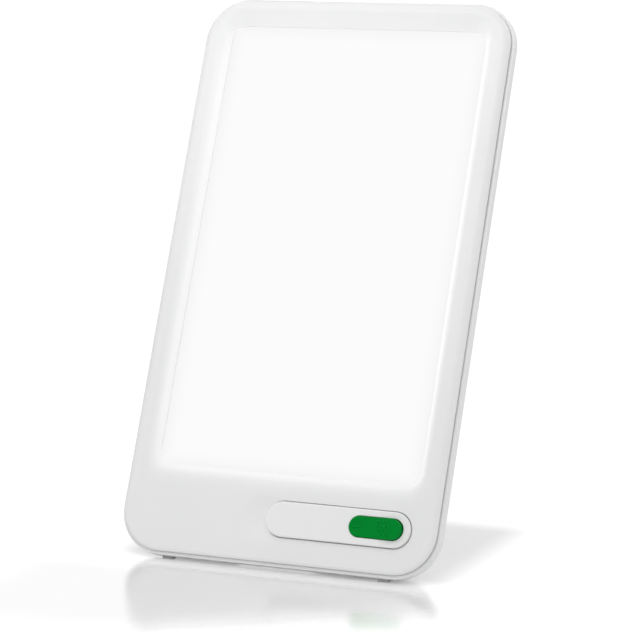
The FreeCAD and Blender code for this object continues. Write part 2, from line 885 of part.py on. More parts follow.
def stand_hinge_pin():
    """Steel pin through the leg's barrel and both walls of the recess."""
    reach = recess_half + recess_wall + hinge_boss_length
    return rod_x(hinge_y, hinge_height, hinge_pin_radius, -reach, reach)


# ---------------------------------------------------------------- switch
def switch_plate():
    """Raised stadium plate with a rocker opening and clip legs behind the ledge."""
    plate = stadium(plate_x, plate_z, plate_length, plate_width, plate_top, ledge_y - seat_gap)
    edges = [e for e in plate.Edges if e.BoundBox.YMax < plate_top + tiny]
    plate = plate.makeChamfer(plate_edge, edges)
    hollow = stadium(plate_x, plate_z, plate_length - 2 * plate_wall, plate_width - 2 * plate_wall,
                     plate_under, ledge_y)
    clips = []
    leg = plate_width / 2 - ledge_width - clip_gap
    root = plate_under - overcut / 2
    hook_y = ledge_y + ledge_thick + clip_gap
    for dx in clip_offsets:
        for side in (-1, 1):
            x = plate_x + dx
            section = [(0, root, side * (leg - clip_thick)), (0, root, side * leg),
                       (0, hook_y, side * leg), (0, hook_y, side * (leg + clip_hook)),
                       (0, hook_y + 2 * clip_hook, side * leg),
                       (0, hook_y + 2 * clip_hook, side * (leg - clip_thick))]
            clips.append(bar(section, V(x - clip_width / 2, 0, plate_z), V(clip_width, 0, 0)))
    opening = stadium(rocker_x, plate_z, rocker_length + 2 * rocker_gap, rocker_width + 2 * rocker_gap,
                      plate_top - overcut, plate_under + overcut)
    return plate.cut(hollow).fuse(clips).cut(opening).removeSplitter()


def switch_body():
    """Housing behind the plate: a well for the rocker and a narrow chamber for the contact."""
    body = stadium(rocker_x, plate_z, body_length, body_width, body_front, body_back)
    well = stadium(rocker_x, plate_z, rocker_length + 2 * rocker_gap, rocker_width + 2 * rocker_gap,
                   body_front - overcut, body_front + rocker_well)
    half = chamber_length / 2
    chamber = box(rocker_x - half, rocker_x + half, body_front, body_back - body_floor,
                  plate_z - chamber_width / 2, plate_z + chamber_width / 2)
    reach = body_width / 2 + overcut
    hole = rod_z(rocker_x, pivot_y, rocker_pin_radius + shank_gap, plate_z - reach, plate_z + reach)
    slots = []
    for dx in (0, terminal_offset):
        x = rocker_x + dx
        slots.append(box(x - terminal_width / 2 - shank_gap, x + terminal_width / 2 + shank_gap,
                         body_back - body_floor - overcut, body_back + overcut,
                         plate_z - terminal_thick / 2 - shank_gap, plate_z + terminal_thick / 2 + shank_gap))
    return body.cut([well, chamber, hole] + slots)


def tilted(shape, degrees, y):
    """Turn a piece of the switch about the line through the rocker's middle at depth y."""
    shape.rotate(V(rocker_x, y, plate_z), Z_AXIS, degrees)
    return shape


def rocker_blank(bottom):
    """Stadium block whose face is a shallow V, with a bevelled rim."""
    rise = rocker_length * math.tan(math.radians(half_travel))
    tall = rocker_crown - rocker_length
    blank = stadium(rocker_x, plate_z, rocker_length, rocker_width, tall, bottom)
    above = bar([(-rocker_length, rocker_crown - rise, 0), (0, rocker_crown, 0),
                 (rocker_length, rocker_crown - rise, 0), (rocker_length, tall - overcut, 0),
                 (-rocker_length, tall - overcut, 0)],
                V(rocker_x, 0, plate_z - rocker_width), V(0, 0, 2 * rocker_width))
    blank = blank.cut(above)
    rim = [e for e in blank.Edges
           if e.BoundBox.YMax < rocker_crown + tiny and e.BoundBox.YLength > tiny]
    return blank.makeChamfer(rocker_edge, rim)


def rocker():
    """Green rocker: two faces in a shallow V, and a finger dish with a bar mark."""
    bottom = plate_top + rocker_skirt
    blank = rocker_blank(bottom)
    web = rocker_hub + rocker_wall / 2
    far = rocker_length / 2 - rocker_width / 2 + rocker_wall
    half = rocker_width / 2 - rocker_wall
    cores = [box(*sorted((rocker_x + side * web, rocker_x + side * far)), rocker_crown + 2 * rocker_wall,
                 bottom + overcut, plate_z - half, plate_z + half) for side in (-1, 1)]
    hub = rod_z(rocker_x, pivot_y, rocker_hub, plate_z - rocker_width / 2, plate_z + rocker_width / 2)
    tube = box(rocker_x - plunger_tube, rocker_x + plunger_tube, pivot_y, pivot_y + plunger_tube_depth,
               plate_z - plunger_tube, plate_z + plunger_tube)
    pin_hole = rod_z(rocker_x, pivot_y, rocker_pin_radius + running_gap,
                     plate_z - rocker_width, plate_z + rocker_width)
    bore = rod_y(rocker_x, plate_z, plunger_bore, pivot_y + spring_seat,
                 pivot_y + plunger_tube_depth + overcut)
    shape = blank.cut(cores).fuse([hub, tube]).cut([dish_cutter(), pin_hole, bore])
    return tilted(shape.fuse(bar_mark()).removeSplitter(), -half_travel, pivot_y)


def face_at(dx):
    """Depth of the untilted rocker's face at a distance from its middle."""
    return rocker_crown - abs(dx) * math.tan(math.radians(half_travel))


def dish_cutter():
    """Ball that hollows the finger dish."""
    ball = (dish_radius ** 2 + dish_depth ** 2) / (2 * dish_depth)
    y = face_at(dish_x) - ball + dish_depth
    return Part.makeSphere(ball, V(rocker_x - dish_x, y, plate_z))


def bar_mark():
    """The raised bar that stands in the dish."""
    top = face_at(dish_x) + dish_depth - mark_height
    return stadium(rocker_x - dish_x, plate_z, mark_length, mark_width, top, top + dish_depth)


def rocker_pin():
    """Steel pivot across the switch body."""
    half = body_width / 2
    return rod_z(rocker_x, pivot_y, rocker_pin_radius, plate_z - half, plate_z + half)


def plunger():
    """Sprung plunger that slides in the rocker and rides on the contact lever."""
    tip = pivot_y + plunger_tip_depth
    shape = spun([(0, pivot_y + plunger_top_depth), (plunger_radius, pivot_y + plunger_top_depth),
                  (plunger_radius, tip - plunger_nose), (plunger_radius - plunger_nose, tip), (0, tip)],
                 rocker_x, plate_z)
    return tilted(shape, -half_travel, pivot_y)


def plunger_spring():
    """Square-wire spring between the bottom of the rocker's bore and the plunger, in short chords."""
    start = pivot_y + spring_seat + seat_gap + spring_wire / 2
    rise = pivot_y + plunger_top_depth - seat_gap - spring_wire / 2 - start
    count = spring_turns * spring_sides
    half = spring_wire / 2
    points = []
    for i in range(count + 1):
        turn = 2 * math.pi * i / spring_sides
        points.append(V(rocker_x + spring_radius * math.cos(turn), start + rise * i / count,
                        plate_z + spring_radius * math.sin(turn)))
    x, y, z = points[0]
    corners = [V(x + a, y + b, z) for a, b in ((-half, -half), (half, -half), (half, half), (-half, half))]
    section = Part.makePolygon(corners + corners[:1])
    coil = Part.makePolygon(points).makePipeShell([section], True, True, 1)
    return tilted(coil, -half_travel, pivot_y)


def contact_lever():
    """See-saw contact on its knuckle, closed at the terminal end."""
    half = lever_length / 2
    strip = box(rocker_x - half, rocker_x + half, lever_top, lever_top + lever_thick,
                plate_z - lever_width / 2, plate_z + lever_width / 2)
    knuckle = rod_z(rocker_x, lever_pivot_y, lever_knuckle, plate_z - lever_width / 2,
                    plate_z + lever_width / 2)
    return tilted(fused([strip, knuckle]), lever_travel / 2, lever_pivot_y)


def terminal_tops():
    """Depth of each terminal's contact face: under the knuckle, and under the closed end."""
    swing = math.radians(lever_travel / 2)
    drop = terminal_offset * math.sin(swing) + (lever_top + lever_thick - lever_pivot_y) * math.cos(swing)
    return ((0.0, lever_pivot_y + lever_knuckle + contact_gap),
            (terminal_offset, lever_pivot_y + drop + contact_gap + lever_thick / 2))


def switch_terminals():
    """Two blades through the floor of the body, each with a contact head inside."""
    solids = []
    for dx, top in terminal_tops():
        x = rocker_x + dx
        head = box(x - contact_half, x + contact_half, top, body_back - body_floor,
                   plate_z - contact_half, plate_z + contact_half)
        blade = box(x - terminal_width / 2, x + terminal_width / 2, body_back - body_floor,
                    body_back + terminal_length, plate_z - terminal_thick / 2, plate_z + terminal_thick / 2)
        solids.append(fused([head, blade]))
    return group(solids)


def switch_plug_place():
    """Lower left corner of the socket for the switch leads, on the front of the driver board."""
    return board_left + board_width - plug_length, plate_z - plug_width / 2


def lead(start, along, across):
    """One insulated lead with flat sides, from a point along a vector."""
    other = along.cross(across).normalize()
    reach = lead_radius / math.cos(math.pi / lead_sides)
    section = []
    for i in range(lead_sides):
        turn = 2 * math.pi * (i + 0.5) / lead_sides
        section.append(across * reach * math.cos(turn) + other * reach * math.sin(turn))
    return bar([(p.x, p.y, p.z) for p in section], start, along)


def switch_leads():
    """Two straight leads from the terminals to the driver board, one on each side of the blades."""
    x = board_left + board_width
    solids = []
    for (dx, _), side in zip(terminal_tops(), (1, -1)):
        start = V(x, body_back + lead_depth, plate_z + side * lead_pitch / 2)
        solids.append(lead(start, V(rocker_x + dx + terminal_width / 2 - x, 0, 0), Y_AXIS))
    return group(solids)


# ---------------------------------------------------------------- driver board and inlet
def driver_board():
    """Circuit board, drilled for its screw."""
    board = box(board_left, board_left + board_width, board_back - board_thick, board_back,
                board_foot, board_foot + board_height)
    return board.cut(rod_y(*board_point(), board_screw_shank + shank_gap,
                           board_back - board_thick - overcut, board_back + overcut))


def driver_coil():
    """Shielded power coil: a square block with its corners cut off."""
    front = board_back - board_thick
    half = coil_size / 2
    flat = half - coil_corner
    corners = [(half, flat), (flat, half), (-flat, half), (-half, flat),
               (-half, -flat), (-flat, -half), (flat, -half), (half, -flat)]
    return bar([(x, 0, z) for x, z in corners],
               V(board_left + coil_across, front - coil_height, board_foot + coil_up), V(0, coil_height, 0))


def driver_capacitor():
    """Can capacitor that stands on the front of the driver board."""
    front = board_back - board_thick
    return rod_y(board_left + capacitor_across, board_foot + capacitor_up, capacitor_radius,
                 front - capacitor_height, front)


def driver_chip():
    """Control chip in a small moulded package."""
    front = board_back - board_thick
    x = board_left + chip_across
    z = board_foot + chip_up
    return box(x, x + chip_length, front - chip_height, front, z, z + chip_width)


def driver_connectors():
    """Lead sockets: one on the front for the switch, one on the back for the light board."""
    x, z = switch_plug_place()
    front = board_back - board_thick
    switch_plug = box(x, board_left + board_width, front - plug_height, front, z, z + plug_width)
    head = board_foot + board_height
    light_plug = box(led_plug_x - led_plug_width / 2, led_plug_x + led_plug_width / 2, board_back,
                     board_back + plug_height, head - plug_width, head)
    return group([switch_plug, light_plug])


def led_leads():
    """Two straight leads from the driver board up to the light board's socket."""
    z = board_foot + board_height
    solids = []
    for side in (-1, 1):
        start = V(led_plug_x + side * lead_pitch / 2, board_back + plug_height / 2, z)
        solids.append(lead(start, V(0, 0, led_plug_z - led_plug_height / 2 - z), X_AXIS))
    return group(solids)


def dc_jack():
    """Inlet socket: a block on the board with a round nose through the cover."""
    mouth = back_depth - jack_recess
    block = box(jack_x - jack_width / 2, jack_x + jack_width / 2, board_back, mouth - jack_nose_length,
                jack_z - jack_height / 2, jack_z + jack_height / 2)
    nose = rod_y(jack_x, jack_z, jack_nose, mouth - jack_nose_length - overcut, mouth)
    bore = rod_y(jack_x, jack_z, jack_bore, mouth - jack_bore_depth, mouth + overcut)
    root = rod_y(jack_x, jack_z, jack_root_radius + shank_gap,
                 mouth - jack_bore_depth - jack_pin_root - shank_gap, mouth)
    return fused([block, nose]).cut([bore, root])


def dc_jack_pin():
    """Centre pin of the inlet, thicker where it is rooted in the block."""
    mouth = back_depth - jack_recess
    floor = mouth - jack_bore_depth
    tip = mouth - jack_pin_setback
    return spun([(0, floor - jack_pin_root), (jack_root_radius, floor - jack_pin_root),
                 (jack_root_radius, floor), (jack_pin_radius, floor), (jack_pin_radius, tip), (0, tip)],
                jack_x, jack_z)


# ---------------------------------------------------------------- the whole lamp
def build():
    """Every piece in the panel's own frame, by node name."""
    makers = (
        front_frame, diffuser_panel, reflector_tray, led_board, led_emitters, led_connector,
        rear_cover, case_screws, front_feet,
        stand_leg, stand_foot_pad, stand_hinge_pin,
        switch_plate, switch_body, rocker, rocker_pin, plunger, plunger_spring, contact_lever,
        switch_terminals, switch_leads,
        driver_board, board_screw, driver_coil, driver_capacitor, driver_chip, driver_connectors,
        led_leads, dc_jack, dc_jack_pin,
    )
    return {maker.__name__: maker() for maker in makers}


def placement(shapes):
    """The move that leans the lamp back and puts the middle of its box over the origin."""
    turn = FreeCAD.Rotation(X_AXIS, -lean_angle)
    leaned = FreeCAD.Placement(V(0, 0, 0), turn)
    lows = []
    highs = []
    for name in ("front_frame", "rear_cover", "stand_foot_pad"):
        shape = shapes[name].copy()
        shape.Placement = leaned.multiply(shape.Placement)
        bounds = shape.optimalBoundingBox(False)
        lows.append(bounds.YMin)
        highs.append(bounds.YMax)
    middle = (min(lows) + max(highs)) / 2
    return FreeCAD.Placement(V(0, -middle, -table_level), turn)


def main():
    """Build, place and write every piece."""
    os.makedirs("parts", exist_ok=True)
    shapes = build()
    move = placement(shapes)
    for name, shape in shapes.items():
        placed = shape.copy()
        placed.Placement = move.multiply(placed.Placement)
        placed.exportStep("parts/" + name + ".step")


main()
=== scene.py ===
"""Light therapy lamp: finishes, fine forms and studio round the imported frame."""

import json
import logging
import math
from collections.abc import Callable, Iterable, Sequence
from dataclasses import dataclass, field
from enum import Enum

import bmesh
import bpy
from mathutils import Matrix, Vector
from mathutils.geometry import delaunay_2d_cdt


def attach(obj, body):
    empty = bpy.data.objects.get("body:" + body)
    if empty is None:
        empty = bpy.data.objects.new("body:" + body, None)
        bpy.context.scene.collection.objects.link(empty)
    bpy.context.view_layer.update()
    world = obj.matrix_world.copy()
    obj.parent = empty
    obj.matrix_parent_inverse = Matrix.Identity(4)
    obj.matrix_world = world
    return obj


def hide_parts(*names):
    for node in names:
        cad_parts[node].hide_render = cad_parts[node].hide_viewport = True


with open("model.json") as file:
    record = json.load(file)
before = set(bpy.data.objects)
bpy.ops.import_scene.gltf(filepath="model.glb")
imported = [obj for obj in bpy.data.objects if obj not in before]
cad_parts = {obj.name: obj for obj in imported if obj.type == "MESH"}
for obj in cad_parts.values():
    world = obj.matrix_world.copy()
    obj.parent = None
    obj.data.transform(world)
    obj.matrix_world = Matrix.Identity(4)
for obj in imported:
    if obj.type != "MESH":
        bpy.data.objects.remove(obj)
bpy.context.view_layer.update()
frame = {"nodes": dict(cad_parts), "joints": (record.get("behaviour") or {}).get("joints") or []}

log = logging.getLogger("lamp")
Triple = tuple[float, float, float]
Colour = Triple
Flat = tuple[float, float]
MILLIMETRE = 0.001
QUARTER = math.pi / 2
LEAST_CORNER = 0.3        # smallest corner radius of an outline, in millimetres
BROKEN_CORNER = 0.1       # corner radius of a plain box, in millimetres
CRISP = 35.0              # edges that turn by more degrees than this stay crisp
TRIANGLES = 0             # kind of a net: triangles all over
SAME_PLACE = 1e-6         # points of a net nearer than this are one, in millimetres
WELD = 1e-7               # points of a mesh nearer than this are one, in metres


# ------------------------------------------------------------------ places and outlines
@dataclass(frozen=True)
class Lean:
    """Takes points of the upright panel, in millimetres, to where the leaning lamp has them.

    The panel's own frame has X to the right, Z up the panel from the foot of its front frame, and Y
    to the back from the seam between the front frame and the rear cover.
    """

    degrees: float = 23.65
    hinge_depth: float = 22.7
    hinge_height: float = 165.0
    hinge_joint: str = "stand_fold"

    def matrix(self) -> Matrix:
        """The move and the change of unit in one matrix.

        Returns:
            A matrix from panel millimetres to metres in the row frame.
        """
        joint = next(j for j in frame["joints"] if j["name"] == self.hinge_joint)
        turn = Matrix.Rotation(-math.radians(self.degrees), 4, "X")
        scale = Matrix.Scale(MILLIMETRE, 4)
        hinge = scale @ turn @ Vector((0, self.hinge_depth, self.hinge_height))
        return Matrix.Translation(Vector(joint["pos_m"]) - hinge) @ scale @ turn


@dataclass(frozen=True)
class RoundedRect:
    """A rounded rectangle on the panel, in millimetres."""

    left: float
    right: float
    foot: float
    head: float
    corner: float

    def grown(self, by: float) -> "RoundedRect":
        """The same outline moved outwards by a distance."""
        return self.pushed(by, by, by)

    def pushed(self, sides: float, head: float, foot: float) -> "RoundedRect":
        """The outline with its sides, head and foot moved outwards by their own distances.

        Args:
            sides: How far the left and right sides move.
            head: How far the head moves.
            foot: How far the foot moves.

        Returns:
            The new outline, its corners rounder by the sides' move.
        """
        return RoundedRect(self.left - sides, self.right + sides, self.foot - foot, self.head + head,
                           max(self.corner + sides, LEAST_CORNER))

    def towards(self, other: "RoundedRect", share: float) -> "RoundedRect":
        """An outline on the way to another.

        Args:
            other: The outline at a share of 1.
            share: How far along, from 0 to 1.

        Returns:
            The outline between the two.
        """
        def mix(a: float, b: float) -> float:
            """A value between two."""
            return a + (b - a) * share

        return RoundedRect(mix(self.left, other.left), mix(self.right, other.right),
                           mix(self.foot, other.foot), mix(self.head, other.head),
                           mix(self.corner, other.corner))

    def inset(self, x: float, z: float) -> float:
        """How far inside the outline a point lies.

        Args:
            x: Its place across.
            z: Its height.

        Returns:
            The distance to the outline, negative outside.
        """
        half_x = (self.right - self.left) / 2 - self.corner
        half_z = (self.head - self.foot) / 2 - self.corner
        dx = abs(x - (self.left + self.right) / 2) - half_x
        dz = abs(z - (self.foot + self.head) / 2) - half_z
        outside = math.hypot(max(dx, 0.0), max(dz, 0.0))
        return self.corner - outside - min(max(dx, dz), 0.0)

    def ring(self, corner_steps: int = 14, across: int = 40, up: int = 64) -> list[Flat]:
        """Points once round the outline, starting at the left end of the foot.

        Args:
            corner_steps: Spans in each corner.
            across: Spans along the foot and the head.
            up: Spans along each side.

        Returns:
            Points as (x, z); outlines asked with the same counts match point by point.
        """
        r = self.corner
        left, right = self.left + r, self.right - r
        foot, head = self.foot + r, self.head - r
        stations = (
            (right, foot, -90, (left, self.foot), (right, self.foot), across),
            (right, head, 0, (self.right, foot), (self.right, head), up),
            (left, head, 90, (right, self.head), (left, self.head), across),
            (left, foot, 180, (self.left, head), (self.left, foot), up),
        )
        points: list[Flat] = []
        for cx, cz, start, a, b, spans in stations:
            for i in range(spans):
                t = i / spans
                points.append((a[0] + (b[0] - a[0]) * t, a[1] + (b[1] - a[1]) * t))
            for i in range(corner_steps):
                angle = math.radians(start + 90 * i / corner_steps)
                points.append((cx + r * math.cos(angle), cz + r * math.sin(angle)))
        return points


def disc(x: float, z: float, radius: float) -> RoundedRect:
    """A round outline."""
    return RoundedRect(x - radius, x + radius, z - radius, z + radius, radius)


@dataclass(frozen=True)
class Stadium:
    """A slot outline with round ends, lying along X, in millimetres."""

    x: float
    z: float
    length: float
    width: float

    def grown(self, by: float) -> "Stadium":
        """The same outline moved outwards by a distance."""
        return Stadium(self.x, self.z, self.length + 2 * by, self.width + 2 * by)

    def inset(self, x: float, z: float) -> float:
        """How far inside the outline a point lies.

        Args:
            x: Its place across.
            z: Its height.

        Returns:
            The distance to the outline, negative outside.
        """
        reach = (self.length - self.width) / 2
        dx = max(abs(x - self.x) - reach, 0.0)
        return self.width / 2 - math.hypot(dx, z - self.z)

    def ring(self, arc_steps: int = 28, along: int = 24) -> list[Flat]:
        """Points once round the outline.

        Args:
            arc_steps: Spans round each end.
            along: Spans along each straight side.

        Returns:
            Points as (x, z).
        """
        r = self.width / 2
        reach = self.length / 2 - r
        points: list[Flat] = []
        for side, start in ((1, -90), (-1, 90)):
            for i in range(along):
                t = -reach + 2 * reach * i / along
                points.append((self.x + side * t, self.z - side * r))
            for i in range(arc_steps):
                angle = math.radians(start + 180 * i / arc_steps)
                points.append((self.x + side * reach + r * math.cos(angle), self.z + r * math.sin(angle)))
        return points


# ------------------------------------------------------------------ mesh building
class Skin:
    """Gathers points and faces in the panel's millimetres, and makes one smooth piece of them."""

    def __init__(self) -> None:
        """Starts with nothing in it."""
        self.points: list[Vector] = []
        self.faces: list[tuple[int, ...]] = []

    def ring(self, outline: Iterable[Flat], depth: float | Callable[[float, float], float]) -> list[int]:
        """Adds a closed row of points.

        Args:
            outline: The row's points as (x, z).
            depth: Their y, one for all or worked out at each point.

        Returns:
            The numbers of the new points.
        """
        first = len(self.points)
        for x, z in outline:
            self.points.append(Vector((x, depth(x, z) if callable(depth) else depth, z)))
        return list(range(first, len(self.points)))

    def bridge(self, a: Sequence[int], b: Sequence[int]) -> list[int]:
        """Joins two closed rows of as many points with four-sided faces.

        Args:
            a: The numbers of the first row's points.
            b: The numbers of the second row's points.

        Returns:
            The second row.
        """
        count = len(a)
        for i in range(count):
            j = (i + 1) % count
            self.faces.append((a[i], a[j], b[j], b[i]))
        return list(b)

    def sheet(self, borders: Sequence[Sequence[int]], keep: Callable[[float, float], bool],
              inner: Iterable[Flat] = (), depth: Callable[[float, float], float] | None = None) -> None:
        """Fills between closed rows of points with a fine net of triangles.

        Args:
            borders: The outer row and the rows round the holes.
            keep: Says whether a place belongs to the sheet.
            inner: Further points inside it.
            depth: The y of those further points.
        """
        flat: list[Vector] = []
        numbers: list[int] = []
        edges: list[tuple[int, int]] = []
        for row in borders:
            first = len(flat)
            flat.extend(Vector((self.points[i].x, self.points[i].z)) for i in row)
            numbers.extend(row)
            edges.extend((first + i, first + (i + 1) % len(row)) for i in range(len(row)))
        for x, z in inner:
            self.points.append(Vector((x, depth(x, z), z)))
            flat.append(Vector((x, z)))
            numbers.append(len(self.points) - 1)
        corners, _, faces, origins, _, _ = delaunay_2d_cdt(flat, edges, [], TRIANGLES, SAME_PLACE)
        for face in faces:
            middle = sum((corners[i] for i in face), Vector((0, 0))) / len(face)
            if keep(middle.x, middle.y) and all(origins[i] for i in face):
                self.faces.append(tuple(numbers[origins[i][0]] for i in face))

    def lid(self, row: Sequence[int]) -> None:
        """Closes a row of points with one flat face."""
        self.faces.append(tuple(row))

    def loft(self, rows: Sequence[tuple["RoundedRect", float]], corner_steps: int = 14, across: int = 40,
             up: int = 64) -> None:
        """Adds a closed body through rounded rectangles, flat at both ends.

        Args:
            rows: Each outline and its depth, from one end to the other.
            corner_steps: Spans in each corner.
            across: Spans along the foot and the head.
            up: Spans along each side.
        """
        row: list[int] = []
        for outline, depth in rows:
            new = self.ring(outline.ring(corner_steps, across, up), depth)
            if row:
                self.bridge(row, new)
            else:
                self.lid(new)
            row = new
        self.lid(row)

    def plug(self, rows: Sequence[tuple["RoundedRect", float]], corner_steps: int) -> None:
        """Adds a small closed body through outlines, with one span along each straight side."""
        self.loft(rows, corner_steps, 1, 1)

    def prism(self, outline: "RoundedRect", y0: float, y1: float, corner_steps: int) -> None:
        """Adds a closed body of one outline, from one depth to another."""
        self.plug([(outline, y0), (outline, y1)], corner_steps)

    def block(self, x: Flat, y: Flat, z: Flat) -> None:
        """Adds a box between pairs of places, its edges along Y just broken."""
        self.prism(RoundedRect(*x, *z, BROKEN_CORNER), *y, 2)

    def rod(self, depth: float, height: float, radius: float, x0: float, x1: float) -> None:
        """Adds a round rod that lies along X.

        Args:
            depth: The y of its middle line.
            height: The z of its middle line.
            radius: Its radius.
            x0: Its first end.
            x1: Its second end.
        """
        first = len(self.points)
        self.prism(disc(depth, height, radius), x0, x1, 8)
        for point in self.points[first:]:
            point.x, point.y = point.y, point.x

    def turned(self, degrees: float, x: float, y: float) -> None:
        """Turns all points about an upright line.

        Args:
            degrees: The angle.
            x: The line's place across.
            y: The line's depth.
        """
        about = Vector((x, y, 0))
        turn = Matrix.Rotation(math.radians(degrees), 3, "Z")
        self.points = [turn @ (p - about) + about for p in self.points]

    def make(self, name: str, sharp: float = CRISP, even: bool = True) -> bpy.types.Object:
        """Makes the piece and puts it in place.

        Args:
            name: The piece's name.
            sharp: Edges that turn by more than these degrees stay crisp.
            even: Whether large flat faces keep their own direction up to their edges.

        Returns:
            The new object.
        """
        mesh = bpy.data.meshes.new(name)
        mesh.from_pydata(self.points, [], self.faces)
        mesh.transform(Lean().matrix())
        settle(mesh, sharp)
        piece = put(name, mesh)
        if even:
            steady_shading(piece)
        return piece


class Cut(Enum):
    """What a body does to the piece that it meets."""

    AWAY = "DIFFERENCE"
    JOIN = "UNION"


def carve(piece: bpy.types.Object, bodies: Sequence[tuple[Skin, Cut]]) -> None:
    """Cuts closed bodies out of a piece or joins them to it, in turn, and leaves one clean mesh.

    Args:
        piece: The piece.
        bodies: Closed bodies and what each does. Forms gathered in one body don't touch each other.
    """
    tools = [body.make(f"cutter_{i}", even=False) for i, (body, _) in enumerate(bodies)]
    for tool, (_, way) in zip(tools, bodies):
        cut = piece.modifiers.new("cut", "BOOLEAN")
        cut.operation = way.value
        cut.object = tool
        cut.solver = "EXACT"
    bpy.context.view_layer.update()
    seen = piece.evaluated_get(bpy.context.evaluated_depsgraph_get())
    old, piece.data = piece.data, bpy.data.meshes.new_from_object(seen)
    piece.modifiers.clear()
    piece.data.name = piece.name
    bpy.data.meshes.remove(old)
    for tool in tools:
        bpy.data.meshes.remove(tool.data)
    settle(piece.data)
    steady_shading(piece)


def put(name: str, data: bpy.types.ID) -> bpy.types.Object:
    """Makes an object of its data and links it to the scene.

    Args:
        name: The object's name.
        data: Its mesh, light or camera.

    Returns:
        The object.
    """
    made = bpy.data.objects.new(name, data)
    bpy.context.scene.collection.objects.link(made)
    return made


def settle(mesh: bpy.types.Mesh, sharp: float = CRISP) -> None:
    """Welds doubled points, turns every face outwards and shades the mesh.

    Args:
        mesh: The mesh.
        sharp: Edges that turn by more than these degrees stay crisp.
    """
    work = bmesh.new()
    work.from_mesh(mesh)
    bmesh.ops.remove_doubles(work, verts=work.verts, dist=WELD)
    bmesh.ops.recalc_face_normals(work, faces=work.faces)
    work.to_mesh(mesh)
    work.free()
    shade(mesh, sharp)


def shade(mesh: bpy.types.Mesh, sharp: float = CRISP) -> None:
    """Shades a mesh smooth up to the edges that turn by more than some degrees."""
    mesh.polygons.foreach_set("use_smooth", [True] * len(mesh.polygons))
    mesh.set_sharp_from_angle(angle=math.radians(sharp))


def steady_shading(piece: bpy.types.Object, weight: int = 80) -> None:
    """Lets large faces rule the shading of the edges beside them.

    Args:
        piece: The piece.
        weight: How much a face's size counts, 50 for not at all.
    """
    weighted = piece.modifiers.new("steady_shading", "WEIGHTED_NORMAL")
    weighted.keep_sharp = True
    weighted.weight = weight


def steps(count: int) -> list[float]:
    """Even shares from 0 to 1, both ends among them."""
    return [i / count for i in range(count + 1)]


def arc(count: int, start: float = 0.0, end: float = QUARTER) -> list[float]:
    """Even angles from a start to an end, in radians, both ends among them."""
    return [start + t * (end - start) for t in steps(count)]


def circle(x: float, z: float, radius: float, count: int) -> list[Flat]:
    """A closed row of points round a centre.

    Args:
        x: The centre's place across.
        z: The centre's height.
        radius: The circle's radius.
        count: How many points.

    Returns:
        Points as (x, z).
    """
    turns = [a * math.tau / count for a in range(count)]
    return [(x + radius * math.cos(turn), z + radius * math.sin(turn)) for turn in turns]


def bend_radius(run: float, drop: float) -> float:
    """Radius of the circle that drops so far over so long a run."""
    return (run ** 2 + drop ** 2) / (2 * drop)


def lattice(x0: float, x1: float, z0: float, z1: float, pitch: float) -> list[Flat]:
    """Points of a staggered net over a rectangle.

    Args:
        x0: Left side.
        x1: Right side.
        z0: Foot.
        z1: Head.
        pitch: Distance from point to point.

    Returns:
        Points as (x, z).
    """
    rows = max(int((z1 - z0) / (pitch * math.sqrt(0.75))), 1)
    columns = max(int((x1 - x0) / pitch), 1)
    points: list[Flat] = []
    for j in range(rows + 1):
        shift = pitch / 2 * (j % 2)
        z = z0 + (z1 - z0) * j / rows
        points.extend((x0 + shift + pitch * i, z) for i in range(columns))
    return points


